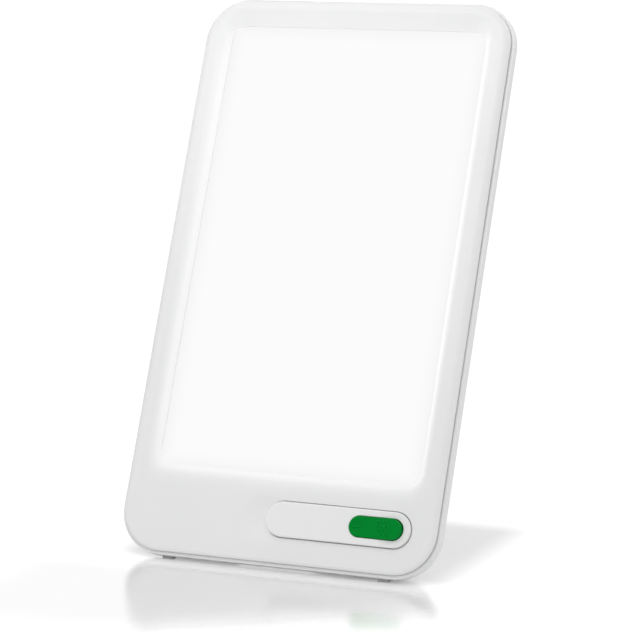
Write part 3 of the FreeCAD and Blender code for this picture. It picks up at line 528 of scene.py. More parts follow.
# ------------------------------------------------------------------ shader building
class Nodes:
    """A node tree with short calls to add and join nodes."""

    def __init__(self, tree: bpy.types.NodeTree) -> None:
        """Works on an empty tree."""
        self.tree = tree

    def feed(self, node: bpy.types.Node, inputs: dict) -> None:
        """Gives a node its inputs.

        Args:
            node: The node.
            inputs: Values or sockets for its inputs, by name or number.
        """
        for key, value in inputs.items():
            if isinstance(value, bpy.types.NodeSocket):
                self.tree.links.new(value, node.inputs[key])
            else:
                node.inputs[key].default_value = value

    def add(self, kind: str, inputs: dict | None = None, **settings: object) -> bpy.types.Node:
        """Adds a node.

        Args:
            kind: The node's type after "ShaderNode".
            inputs: Values or sockets for its inputs, by name or number.
            settings: Its own settings.

        Returns:
            The node.
        """
        node = self.tree.nodes.new("ShaderNode" + kind)
        for key, value in settings.items():
            setattr(node, key, value)
        self.feed(node, inputs or {})
        return node

    def where(self) -> bpy.types.NodeSocket:
        """The shaded place, in metres."""
        return self.add("TexCoord").outputs["Object"]

    def maths(self, operation: str, a: object, b: object = 0.0, clamp: bool = False) -> bpy.types.NodeSocket:
        """One sum on two values."""
        return self.add("Math", {0: a, 1: b}, operation=operation, use_clamp=clamp).outputs[0]

    def times(self, a: object, b: object, clamp: bool = False) -> bpy.types.NodeSocket:
        """The product of two values."""
        return self.maths("MULTIPLY", a, b, clamp)

    def plus(self, a: object, b: object, clamp: bool = False) -> bpy.types.NodeSocket:
        """The sum of two values."""
        return self.maths("ADD", a, b, clamp)

    def dot(self, place: object, toward: Triple) -> bpy.types.NodeSocket:
        """How far a place lies in a direction."""
        return self.add("VectorMath", {0: place, 1: toward}, operation="DOT_PRODUCT").outputs["Value"]

    def blend(self, share: object, a: object, b: object) -> bpy.types.NodeSocket:
        """A colour between two."""
        return self.add("Mix", {0: share, 6: a, 7: b}, data_type="RGBA").outputs[2]

    def bump(self, strength: float, deep: float, height: object) -> bpy.types.NodeSocket:
        """A normal bent by a height that is so many metres deep."""
        return self.add("Bump", {"Strength": strength, "Distance": deep, "Height": height}).outputs["Normal"]

    def span(self, value: object, low: float, high: float, start: float = 0.0,
             end: float = 1.0) -> bpy.types.NodeSocket:
        """A value carried smoothly from one range to another.

        Args:
            value: What is carried.
            low: Its value at the start.
            high: Its value at the end.
            start: What comes out at the start.
            end: What comes out at the end.

        Returns:
            The socket with the carried value.
        """
        node = self.add("MapRange", {0: value, 1: low, 2: high, 3: start, 4: end},
                        interpolation_type="SMOOTHSTEP")
        return node.outputs[0]

    def noise(self, place: object, scale: object, detail: float = 2.0,
              rough: float = 0.5) -> bpy.types.NodeSocket:
        """Soft noise from 0 to 1."""
        return self.add("TexNoise", {"Vector": place, "Scale": scale, "Detail": detail,
                                     "Roughness": rough}).outputs[0]


def cleared(owner: bpy.types.Material | bpy.types.World) -> Nodes:
    """Empties the node tree of a material or a world.

    Args:
        owner: The material or the world.

    Returns:
        Its tree.
    """
    owner.use_nodes = True
    owner.node_tree.nodes.clear()
    return Nodes(owner.node_tree)


def shade_group(name: str, takes: dict[str, tuple[str, object]], gives: dict[str, str],
                draw: Callable[[Nodes, bpy.types.Node, bpy.types.Node], None]) -> bpy.types.NodeTree:
    """A shared shader effect, built the first time that it is asked for.

    Args:
        name: The group's name.
        takes: Its inputs: name to socket type and starting value.
        gives: Its outputs: name to socket type.
        draw: Draws the nodes between the group's input and output nodes.

    Returns:
        The node group.
    """
    if name in bpy.data.node_groups:
        return bpy.data.node_groups[name]
    tree = bpy.data.node_groups.new(name, "ShaderNodeTree")
    for label, (kind, value) in takes.items():
        socket = tree.interface.new_socket(label, in_out="INPUT", socket_type="NodeSocket" + kind)
        socket.default_value = value
    for label, kind in gives.items():
        tree.interface.new_socket(label, in_out="OUTPUT", socket_type="NodeSocket" + kind)
    draw(Nodes(tree), tree.nodes.new("NodeGroupInput"), tree.nodes.new("NodeGroupOutput"))
    return tree


def grain_group() -> bpy.types.NodeTree:
    """Spark-eroded mould grain: fine pits and a slow unevenness of the surface."""
    def draw(nodes: Nodes, take: bpy.types.Node, give: bpy.types.Node) -> None:
        """Draws the group.

        Args:
            nodes: Its tree.
            take: Its input node.
            give: Its output node.
        """
        place = nodes.where()
        scale = take.outputs["Scale"]
        fine = nodes.noise(place, scale, detail=3.0, rough=0.6)
        cells = nodes.add("TexVoronoi", {"Vector": place, "Scale": scale}).outputs["Distance"]
        slow = nodes.noise(place, scale=22.0, detail=1.0)
        height = nodes.plus(fine, nodes.times(cells, 0.35))
        nodes.feed(give, {"Height": nodes.plus(height, nodes.times(slow, take.outputs["Sink"]))})

    return shade_group("mould_grain", {"Scale": ("Float", 2500.0), "Sink": ("Float", 0.5)},
                       {"Height": "Float"}, draw)


def drift_group() -> bpy.types.NodeTree:
    """Slow drift of a finish: its colour and gloss vary a little, with faint marks of handling."""
    def draw(nodes: Nodes, take: bpy.types.Node, give: bpy.types.Node) -> None:
        """Draws the group.

        Args:
            nodes: Its tree.
            take: Its input node.
            give: Its output node.
        """
        place = nodes.where()
        scale, smearing = take.outputs["Scale"], take.outputs["Smear"]
        cloud = nodes.noise(place, scale, detail=3.0, rough=0.55)
        marks = nodes.noise(place, nodes.times(scale, 4.0), detail=5.0, rough=0.65)
        smear = nodes.span(marks, low=0.52, high=0.72)
        share = nodes.span(cloud, low=0.3, high=0.7)
        colour = nodes.blend(share, take.outputs["Colour"], take.outputs["Drift"])
        rough = nodes.times(smear, smearing)
        cloudy = nodes.times(nodes.maths("SUBTRACT", cloud, 0.5), smearing)
        level = nodes.plus(take.outputs["Roughness"], nodes.plus(rough, cloudy), clamp=True)
        nodes.feed(give, {"Colour": colour, "Roughness": level})

    return shade_group("finish_drift",
                       {"Colour": ("Color", (0.8, 0.8, 0.8, 1)), "Drift": ("Color", (0.8, 0.8, 0.8, 1)),
                        "Roughness": ("Float", 0.5), "Smear": ("Float", 0.1), "Scale": ("Float", 12.0)},
                       {"Colour": "Color", "Roughness": "Float"}, draw)


def wear_and_relief_shade_group() -> bpy.types.NodeTree:
    """Edge marks and painted relief: raised edges turn lighter and smoother where the noise lets them, for
    rubbing and as a painted highlight; hollows turn darker, for dirt and as painted shade.
    """
    def draw(nodes: Nodes, take: bpy.types.Node, give: bpy.types.Node) -> None:
        """Draws the group.

        Args:
            nodes: Its tree.
            take: Its input node.
            give: Its output node.
        """
        place = nodes.where()
        bend = nodes.add("NewGeometry").outputs["Pointiness"]
        # Painted highlight: edges that bulge outwards are lightened, for light catching them and for rubbing.
        edge = nodes.span(bend, low=0.51, high=0.58)
        # Painted shade: hollows are darkened, for the shade in them and for dirt.
        hollow = nodes.times(nodes.span(bend, low=0.49, high=0.42), take.outputs["Dust_and_shade"])
        patches = nodes.span(nodes.noise(place, scale=90.0, detail=4.0, rough=0.6), low=0.35, high=0.65)
        mask = nodes.times(nodes.times(edge, patches), take.outputs["Amount"], clamp=True)
        hollows_darkened = nodes.blend(hollow, take.outputs["Colour"], take.outputs["Sunk"])
        colour = nodes.blend(mask, hollows_darkened, take.outputs["Worn_and_highlight"])
        level = nodes.plus(take.outputs["Roughness"], nodes.times(mask, -0.12), clamp=True)
        nodes.feed(give, {"Colour": colour, "Roughness": level})

    return shade_group("edge_wear_and_painted_relief",
                       {"Colour": ("Color", (0.8, 0.8, 0.8, 1)), "Worn_and_highlight": ("Color", (0.9, 0.9, 0.9, 1)),
                        "Sunk": ("Color", (0.6, 0.6, 0.6, 1)), "Roughness": ("Float", 0.5),
                        "Amount": ("Float", 0.5), "Dust_and_shade": ("Float", 0.3)},
                       {"Colour": "Color", "Roughness": "Float"}, draw)


class Gloss(Enum):
    """How a moulded surface shines, as its roughness."""

    MATT = 0.62
    SATIN = 0.46
    SEMI = 0.34
    GLOSSY = 0.2


class Grain(Enum):
    """Mould grain, as the number of pits per metre and their depth in metres."""

    COARSE = (1400.0, 0.00006)
    FINE = (2600.0, 0.00003)
    POLISHED = (900.0, 0.000008)


@dataclass(frozen=True)
class Finish:
    """A finish, whose material is made the first time that it is asked for."""

    name: str

    def material(self) -> bpy.types.Material:
        """The finish as a material with one Principled shader.

        Returns:
            The material, made once.
        """
        if self.name in bpy.data.materials:
            return bpy.data.materials[self.name]
        made = bpy.data.materials.new(self.name)
        nodes = cleared(made)
        surface = nodes.add("BsdfPrincipled")
        nodes.add("OutputMaterial", {0: surface.outputs[0]})
        self.dress(nodes, surface)
        return made

    def dress(self, nodes: Nodes, surface: bpy.types.Node) -> None:
        """Feeds the shader; each kind of finish has its own way."""
        raise NotImplementedError


@dataclass(frozen=True)
class Plastic(Finish):
    """A moulded plastic or rubber with grain, drift, lighter raised edges and darker hollows; the edges and
    hollows stand for rubbing and dirt and are also painted highlight and painted shade.
    """

    colour: Colour
    drift: Colour
    gloss: Gloss = Gloss.SATIN
    grain: Grain = Grain.FINE
    # Colour of raised edges, lighter for rubbing and as a painted highlight.
    worn_and_highlight: Colour = (0.95, 0.95, 0.95)
    wear_and_highlight: float = 0.4
    smear: float = 0.08
    coat: float = 0.0
    sheen: float = 0.5
    # How much hollows are darkened, for dirt and as painted shade.
    dust_and_shade: float = 0.3
    # Share of the colour left in the darkened hollows.
    sunk: float = 0.6
    coat_rough: float = 0.12

    def dress(self, nodes: Nodes, surface: bpy.types.Node) -> None:
        """Feeds the shader with a drifting colour, raised edges lightened for rubbing and as a painted
        highlight, hollows darkened for dirt and as painted shade, and mould grain.

        Args:
            nodes: The material's tree.
            surface: Its shader.
        """
        drift = nodes.add("Group", {"Colour": (*self.colour, 1), "Drift": (*self.drift, 1),
                                    "Roughness": self.gloss.value, "Smear": self.smear},
                          node_tree=drift_group()).outputs
        wear_and_highlight = nodes.add("Group", {"Colour": drift["Colour"], "Roughness": drift["Roughness"],
                                   "Worn_and_highlight": (*self.worn_and_highlight, 1), "Amount": self.wear_and_highlight, "Dust_and_shade": self.dust_and_shade,
                                   "Sunk": (*(self.sunk * c for c in self.colour), 1)},
                         node_tree=wear_and_relief_shade_group()).outputs
        pits, deep = self.grain.value
        grain = nodes.add("Group", {"Scale": pits}, node_tree=grain_group()).outputs
        nodes.feed(surface, {"Base Color": wear_and_highlight["Colour"], "Roughness": wear_and_highlight["Roughness"],
                             "Normal": nodes.bump(1.0, deep, grain["Height"]),
                             "Specular IOR Level": self.sheen, "Coat Weight": self.coat,
                             "Coat Roughness": self.coat_rough})


@dataclass(frozen=True)
class Metal(Finish):
    """A bare or plated metal with drawn streaks."""

    colour: Colour
    drift: Colour
    roughness: float = 0.3
    streak: Triple = (60.0, 2200.0, 2200.0)
    streak_depth: float = 0.00002
    smear: float = 0.16
    clouds: float = 60.0

    def dress(self, nodes: Nodes, surface: bpy.types.Node) -> None:
        """Feeds the shader with a drifting colour and drawn streaks.

        Args:
            nodes: The material's tree.
            surface: Its shader.
        """
        drawn = nodes.add("Mapping", {"Vector": nodes.where(), "Scale": self.streak}).outputs[0]
        lines = nodes.noise(drawn, scale=1.0, detail=3.0, rough=0.6)
        drift = nodes.add("Group", {"Colour": (*self.colour, 1), "Drift": (*self.drift, 1),
                                    "Roughness": self.roughness, "Smear": self.smear,
                                    "Scale": self.clouds}, node_tree=drift_group()).outputs
        nodes.feed(surface, {"Base Color": drift["Colour"], "Roughness": drift["Roughness"],
                             "Normal": nodes.bump(0.5, self.streak_depth, lines), "Metallic": 1.0})


@dataclass(frozen=True)
class CircuitBoard(Finish):
    """Solder mask over etched tracks."""

    mask: Colour
    track: Colour
    roughness: float = 0.35
    routes: float = 260.0
    track_edge: Flat = (0.05, 0.09)
    track_depth: float = 0.00004
    smear: float = 0.1
    clouds: float = 40.0
    varnish: float = 0.4

    def dress(self, nodes: Nodes, surface: bpy.types.Node) -> None:
        """Feeds the shader with tracks that show through the mask.

        Args:
            nodes: The material's tree.
            surface: Its shader.
        """
        routes = nodes.add("TexVoronoi", {"Vector": nodes.where(), "Scale": self.routes},
                           feature="DISTANCE_TO_EDGE").outputs["Distance"]
        track = nodes.span(routes, *self.track_edge, 1.0, 0.0)
        colour = nodes.blend(track, (*self.mask, 1), (*self.track, 1))
        drift = nodes.add("Group", {"Colour": colour, "Drift": colour, "Roughness": self.roughness,
                                    "Smear": self.smear, "Scale": self.clouds},
                          node_tree=drift_group()).outputs
        nodes.feed(surface, {"Base Color": drift["Colour"], "Roughness": drift["Roughness"],
                             "Normal": nodes.bump(0.6, self.track_depth, track),
                             "Coat Weight": self.varnish})


@dataclass(frozen=True)
class OpalGlow(Finish):
    """Opal sheet lit from behind: even in the middle, a little weaker towards its hidden edges."""

    half_width: float = 71.3
    foot: float = 45.2
    head: float = 283.3
    edge_light: float = 0.895
    middle_light: float = 0.945
    fade: Flat = (-2.0, 9.0)
    haze: float = 0.004
    frost: float = 0.00002

    def dress(self, nodes: Nodes, surface: bpy.types.Node) -> None:
        """Feeds the shader with a glow that fades a little towards the sheet's edges.

        Args:
            nodes: The material's tree.
            surface: Its shader.
        """
        upright = Lean().matrix().inverted()
        place = nodes.where()

        def along(row: int) -> bpy.types.NodeSocket:
            """A panel coordinate, in millimetres."""
            return nodes.plus(nodes.dot(place, tuple(upright[row][:3])), upright[row][3])

        side = nodes.maths("SUBTRACT", self.half_width, nodes.maths("ABSOLUTE", along(0)))
        foot = nodes.maths("SUBTRACT", along(2), self.foot)
        head = nodes.maths("SUBTRACT", self.head, along(2))
        near = nodes.maths("SMOOTH_MIN", nodes.maths("SMOOTH_MIN", side, foot), head)
        level = nodes.span(near, *self.fade, self.edge_light, self.middle_light)
        haze = nodes.times(nodes.maths("SUBTRACT", nodes.noise(place, scale=9.0), 0.5), self.haze)
        bright = nodes.plus(level, haze)
        glow = nodes.add("CombineColor", {0: bright, 1: bright, 2: bright}).outputs[0]
        frost = nodes.bump(0.4, self.frost, nodes.noise(place, scale=3000.0))
        nodes.feed(surface, {"Emission Color": glow, "Emission Strength": 1.0,
                             "Base Color": (0.02, 0.02, 0.02, 1), "Roughness": 0.6,
                             "Specular IOR Level": 0.02, "Normal": frost})


# Each plastic lightens its raised edges, for rubbing and as a painted highlight, and darkens its hollows, for
# dirt and as painted shade.
HOUSING = Plastic("housing_satin", (0.85, 0.85, 0.85), (0.835, 0.837, 0.838), Gloss.SATIN, Grain.FINE,
                  worn_and_highlight=(0.88, 0.88, 0.88), wear_and_highlight=0.3)
COVER = Plastic("cover_satin", (0.84, 0.84, 0.842), (0.825, 0.826, 0.83), Gloss.SATIN, Grain.COARSE,
                worn_and_highlight=(0.88, 0.88, 0.88), wear_and_highlight=0.3)
PLATE = Plastic("switch_plate_gloss", (0.86, 0.86, 0.86), (0.85, 0.85, 0.852), Gloss.SEMI, Grain.POLISHED,
                worn_and_highlight=(0.9, 0.9, 0.9), wear_and_highlight=0.2, smear=0.06)
# On the rocker both are turned full up: the lighter dots and bar are a painted highlight, the darker dish a
# painted shade.
GREEN = Plastic("rocker_green_gloss", (0.0008, 0.25, 0.032), (0.0006, 0.235, 0.028), Gloss.SEMI,
                Grain.POLISHED, worn_and_highlight=(0.006, 0.36, 0.075), wear_and_highlight=1.0, smear=0.1, sheen=0.02, dust_and_shade=1.0)
BLACK = Plastic("switch_black", (0.03, 0.03, 0.032), (0.038, 0.038, 0.04), Gloss.SATIN, Grain.FINE,
                worn_and_highlight=(0.09, 0.09, 0.09), wear_and_highlight=0.5)
RUBBER = Plastic("foot_rubber", (0.06, 0.06, 0.062), (0.085, 0.085, 0.087), Gloss.MATT, Grain.COARSE,
                 worn_and_highlight=(0.25, 0.25, 0.25), wear_and_highlight=0.5, smear=0.12)
TRAY = Plastic("tray_white", (0.86, 0.86, 0.86), (0.84, 0.84, 0.84), Gloss.GLOSSY, Grain.POLISHED)
SOCKET = Plastic("socket_cream", (0.78, 0.76, 0.68), (0.74, 0.72, 0.64), Gloss.SATIN, Grain.FINE)
PHOSPHOR = Plastic("phosphor_yellow", (0.83, 0.66, 0.12), (0.8, 0.6, 0.09), Gloss.GLOSSY, Grain.FINE,
                   worn_and_highlight=(0.9, 0.88, 0.8), wear_and_highlight=0.8, coat=0.3)
RED_LEAD = Plastic("lead_red", (0.45, 0.02, 0.02), (0.4, 0.018, 0.018), Gloss.SEMI, Grain.POLISHED)
FERRITE = Plastic("ferrite_grey", (0.075, 0.075, 0.08), (0.1, 0.1, 0.105), Gloss.MATT, Grain.COARSE)
CHIP = Plastic("chip_black", (0.02, 0.02, 0.021), (0.03, 0.03, 0.031), Gloss.MATT, Grain.FINE)
ZINC = Metal("zinc_steel", (0.6, 0.61, 0.63), (0.52, 0.53, 0.56), 0.32)
BRASS = Metal("contact_brass", (0.72, 0.5, 0.2), (0.62, 0.42, 0.16), 0.28)
CAN = Metal("can_aluminium", (0.68, 0.68, 0.7), (0.6, 0.6, 0.62), 0.3)
GREEN_BOARD = CircuitBoard("board_green", (0.012, 0.12, 0.045), (0.03, 0.2, 0.075))
WHITE_BOARD = CircuitBoard("board_white", (0.82, 0.82, 0.82), (0.74, 0.75, 0.76))
OPAL = OpalGlow("opal_glow")


# ------------------------------------------------------------------ pieces
def dress_node(node: str, finish: Finish, edge: float = 0.0, flat: float = 0.6, bent: float = 38.0) -> None:
    """Gives a carried-over node its finish, and soft edges if asked.

    Args:
        node: The node's name.
        finish: What it is made of.
        edge: Width of its broken edges in millimetres.
        flat: Faces that turn by less than these degrees become one.
        bent: Edges that turn by more than these degrees are broken.
    """
    piece = frame["nodes"][node]
    piece.data.materials.clear()
    piece.data.materials.append(finish.material())
    shade(piece.data)
    if edge:
        flats = piece.modifiers.new("join_flats", "DECIMATE")
        flats.decimate_type = "DISSOLVE"
        flats.angle_limit = math.radians(flat)
        bevel = piece.modifiers.new("broken_edges", "BEVEL")
        bevel.width = edge * MILLIMETRE
        bevel.segments = 2
        bevel.limit_method = "ANGLE"
        bevel.angle_limit = math.radians(bent)
    steady_shading(piece)
    log.info("node %s dressed in %s", node, finish.name)


@dataclass
class FrontFrame:
    """Bezel round the window: rolled edge, falling chin, sloped window, seat for the switch plate."""

    outline: RoundedRect = RoundedRect(-85.0, 85.0, 0.0, 296.5, 21.6)
    crest: RoundedRect = RoundedRect(-75.5, 74.8, 39.8, 290.7, 11.0)
    sill: RoundedRect = RoundedRect(-71.3, 71.3, 45.2, 283.3, 8.0)
    face: float = -3.4
    roll_run: float = 4.0
    roll_drop: float = 2.4
    chin_fall: float = 1.9
    chin_start: float = 52.0
    window_fall: float = 4.3
    crest_soft: tuple[float, float, float] = (2.9, 1.5, 6.5)
    crest_share: float = 0.57
    lip_back: float = 1.5
    skirt_inset: float = 0.65
    skirt_wall: float = 1.6
    skirt_back: float = 4.6
    seam_edge: float = 0.25
    pocket: float = 3.3
    collar: float = 4.5
    seat: Stadium = Stadium(33.4, 22.0, 78.3, 18.8)
    seat_edge: float = 0.25
    seat_rows: tuple[Flat, ...] = ((0.07, 0.07), (0.0, 0.25))
    ledge: float = -0.4
    ledge_run: float = 2.0
    back: Flat = (-1.0, 1.6)
    back_change: Flat = (46.0, 6.0)
    collar_head: float = 0.3
    sill_drop: float = 0.12
    scoop: tuple[float, float, float, float, float, float] = (-7.0, 21.8, 10.0, 9.5, 9.0, 1.4)
    seam_rows: tuple[Flat, ...] = ((1.0, 0.0), (0.3, 0.6), (0.0, 1.3))
    roll_rows: tuple[float, ...] = (0.0, 0.12, 0.35, 0.7, 1.15, 1.7, 2.4, 3.2)
    slope_rows: tuple[float, ...] = (0.66, 0.76, 0.86, 0.93, 0.97, 0.99)
    net_box: tuple[float, float, float, float] = (-81.0, 81.0, 3.6, 72.0)
    net_pitch: float = 1.5
    net_clear: float = 0.7
    net_seat_clear: float = 1.0

    def depth(self, x: float, z: float) -> float:
        """Depth of the face, with the rolled edge, the chin and the scoop by the plate.

        Args:
            x: Its place across.
            z: Its height.

        Returns:
            The depth there.
        """
        inset = self.outline.inset(x, z)
        roll = 0.0
        if inset < self.roll_run:
            radius = bend_radius(self.roll_run, self.roll_drop)
            reach = self.roll_run - max(inset, 0.0)
            roll = radius - math.sqrt(radius ** 2 - reach ** 2)
        chin = self.chin(z)
        if 0.0 < roll and 0.0 < chin:
            drop = (roll ** 3 + chin ** 3) ** (1 / 3)
        else:
            drop = max(roll, chin)
        sx, sz, rx, above, below, deep = self.scoop
        away = ((x - sx) / rx) ** 2 + ((z - sz) / (above if z > sz else below)) ** 2
        return self.face + drop + deep * math.exp(-away * away)

    def chin(self, z: float) -> float:
        """How far the chin has fallen.

        Args:
            z: The height.

        Returns:
            The fall there, 0 above the chin.
        """
        if z >= self.chin_start:
            return 0.0
        radius = bend_radius(self.chin_start, self.chin_fall)
        return radius - math.sqrt(radius ** 2 - (self.chin_start - z) ** 2)

    def window_rings(self, skin: Skin) -> tuple[list[int], list[int]]:
        """Adds the window's rows, from the face over the crest and down the slope.

        Args:
            skin: Where they are added.

        Returns:
            The outermost and the innermost row.
        """
        side, head, foot = self.crest_soft
        rows: list[tuple[RoundedRect, float]] = []
        for t in steps(9):
            away = (1 - t) ** 2
            share = self.crest_share * t * t
            eased = self.crest.towards(self.sill, share)
            rows.append((eased.pushed(side * away, head * away, foot * away), share))
        for share in self.slope_rows:
            rows.append((self.crest.towards(self.sill, share), share))
        last: list[int] = []
        outer: list[int] = []
        for outline, share in rows:
            row = skin.ring(outline.ring(), lambda x, z: self.window_depth(z, share))
            last = skin.bridge(last, row) if last else row
            outer = outer or row
        return outer, last

    def window_depth(self, z: float, share: float) -> float:
        """Depth of the window's slope at a height and a share of its fall."""
        return (self.face + self.chin(z) * (1 - share)) + self.window_fall * share

    def front_rows(self, skin: Skin, row: list[int]) -> list[int]:
        """Adds the outside, from the skirt's back end over the seam's edge and the roll to the face.

        Args:
            skin: Where it is added.
            row: The row at the skirt's back end.

        Returns:
            The row where the face begins.
        """
        skirt = self.outline.grown(-self.skirt_inset)
        edge = self.seam_edge
        seam = [(self.outline.grown(-edge * by), -edge * up) for by, up in self.seam_rows]
        for outline, depth in ((skirt, self.skirt_back), (skirt, 0.0), *seam):
            row = skin.bridge(row, skin.ring(outline.ring(), depth))
        for inset in (*self.roll_rows, self.roll_run):
            row = skin.bridge(row, skin.ring(self.outline.grown(-inset).ring(), self.depth))
        return row

    def face_sheet(self, skin: Skin, outer: list[int], crest: list[int]) -> list[int]:
        """Adds the face between the roll, the window and the switch plate's seat.

        Args:
            skin: Where it is added.
            outer: The row where the face begins.
            crest: The window's outermost row.

        Returns:
            The row round the seat.
        """
        brink = self.seat.grown(self.seat_edge)
        rim = self.crest.pushed(*self.crest_soft)
        seat = skin.ring(brink.ring(), self.depth)
        net = [(x, z) for x, z in lattice(*self.net_box, self.net_pitch)
               if self.outline.inset(x, z) > self.roll_run + self.net_clear
               and self.seat.inset(x, z) < -self.net_seat_clear and rim.inset(x, z) < -self.net_clear]
        skin.sheet([outer, crest, seat],
                   lambda x, z: brink.inset(x, z) < 0.0 and rim.inset(x, z) < 0.0, net, self.depth)
        return seat

    def build(self) -> bpy.types.Object:
        """Makes the frame.

        Returns:
            The piece.
        """
        skin = Skin()
        inner = self.outline.grown(-self.skirt_inset - self.skirt_wall)
        first = skin.ring(inner.ring(), self.skirt_back)
        outer = self.front_rows(skin, first)
        crest, last = self.window_rings(skin)
        row = self.face_sheet(skin, outer, crest)
        for grow, lower in self.seat_rows:
            row = skin.bridge(row, skin.ring(self.seat.grown(grow).ring(),
                                             lambda x, z: self.depth(x, z) + lower))
        through = self.seat.grown(-self.ledge_run)
        for outline, depth in ((self.seat, self.ledge), (through, self.ledge), (through, self.back[1])):
            row = skin.bridge(row, skin.ring(outline.ring(), depth))
        hole = row

        collar_outline = self.collar_outline()
        pocket = self.sill.grown(self.pocket)
        sill_depth = self.face + self.window_fall + self.sill_drop
        row = last
        for outline, depth in ((self.sill, sill_depth), (self.sill, self.lip_back), (pocket, self.lip_back),
                               (pocket, self.skirt_back), (collar_outline, self.skirt_back),
                               (collar_outline, self.ceiling)):
            row = skin.bridge(row, skin.ring(outline.ring(), depth))
        rear = skin.ring(inner.ring(), self.ceiling)
        skin.bridge(rear, first)
        skin.sheet([rear, row, hole],
                   lambda x, z: through.inset(x, z) < 0.0 and collar_outline.inset(x, z) < 0.0)
        piece = skin.make("front_bezel")
        piece.data.materials.append(HOUSING.material())
        return piece

    def collar_outline(self) -> RoundedRect:
        """Outside of the collar that holds the diffuser.

        Returns:
            The outline.
        """
        grown = self.sill.grown(self.collar)
        head = self.crest.head + self.collar_head
        return RoundedRect(grown.left, grown.right, grown.foot, head, grown.corner)

    def ceiling(self, _x: float, z: float) -> float:
        """Depth of the frame's inside: deeper behind the chin, where the wall is thicker.

        Args:
            z: The height.

        Returns:
            The depth there.
        """
        high, run = self.back_change
        share = min(max((high - z) / run, 0.0), 1.0)
        return self.back[0] + (self.back[1] - self.back[0]) * share


@dataclass
class SwitchPlate:
    """Raised plate with the rocker's opening."""

    outline: Stadium = Stadium(33.4, 22.0, 77.5, 18.0)
    opening: Stadium = Stadium(54.1, 22.0, 28.9, 11.1)
    top: float = -4.2
    under: float = -2.4
    foot: float = -0.5
    edge: float = 0.8
    wall: float = 1.5
    rim: float = 0.25

    def build(self) -> bpy.types.Object:
        """Makes the plate.

        Returns:
            The piece.
        """
        skin = Skin()
        inner = self.outline.grown(-self.wall)
        first = row = skin.ring(inner.ring(), self.foot)
        row = skin.bridge(row, skin.ring(self.outline.ring(), self.foot))
        for angle in arc(7):
            row = skin.bridge(row, skin.ring(
                self.outline.grown(-self.edge * (1 - math.cos(angle))).ring(),
                self.top + self.edge * (1 - math.sin(angle))))
        outer = row
        row = hole = skin.ring(self.opening.grown(self.rim).ring(), self.top)
        for angle in arc(4)[1:]:
            row = skin.bridge(row, skin.ring(self.opening.grown(self.rim * (1 - math.sin(angle))).ring(),
                                             self.top + self.rim * (1 - math.cos(angle))))
        row = skin.bridge(row, skin.ring(self.opening.ring(), self.under))
        skin.sheet([outer, hole], lambda x, z: self.opening.grown(self.rim).inset(x, z) < 0.0)
        rear = skin.ring(inner.ring(), self.under)
        skin.sheet([rear, row], lambda x, z: self.opening.inset(x, z) < 0.0)
        skin.bridge(first, rear)
        piece = skin.make("switch_cover")
        piece.data.materials.append(PLATE.material())
        return piece


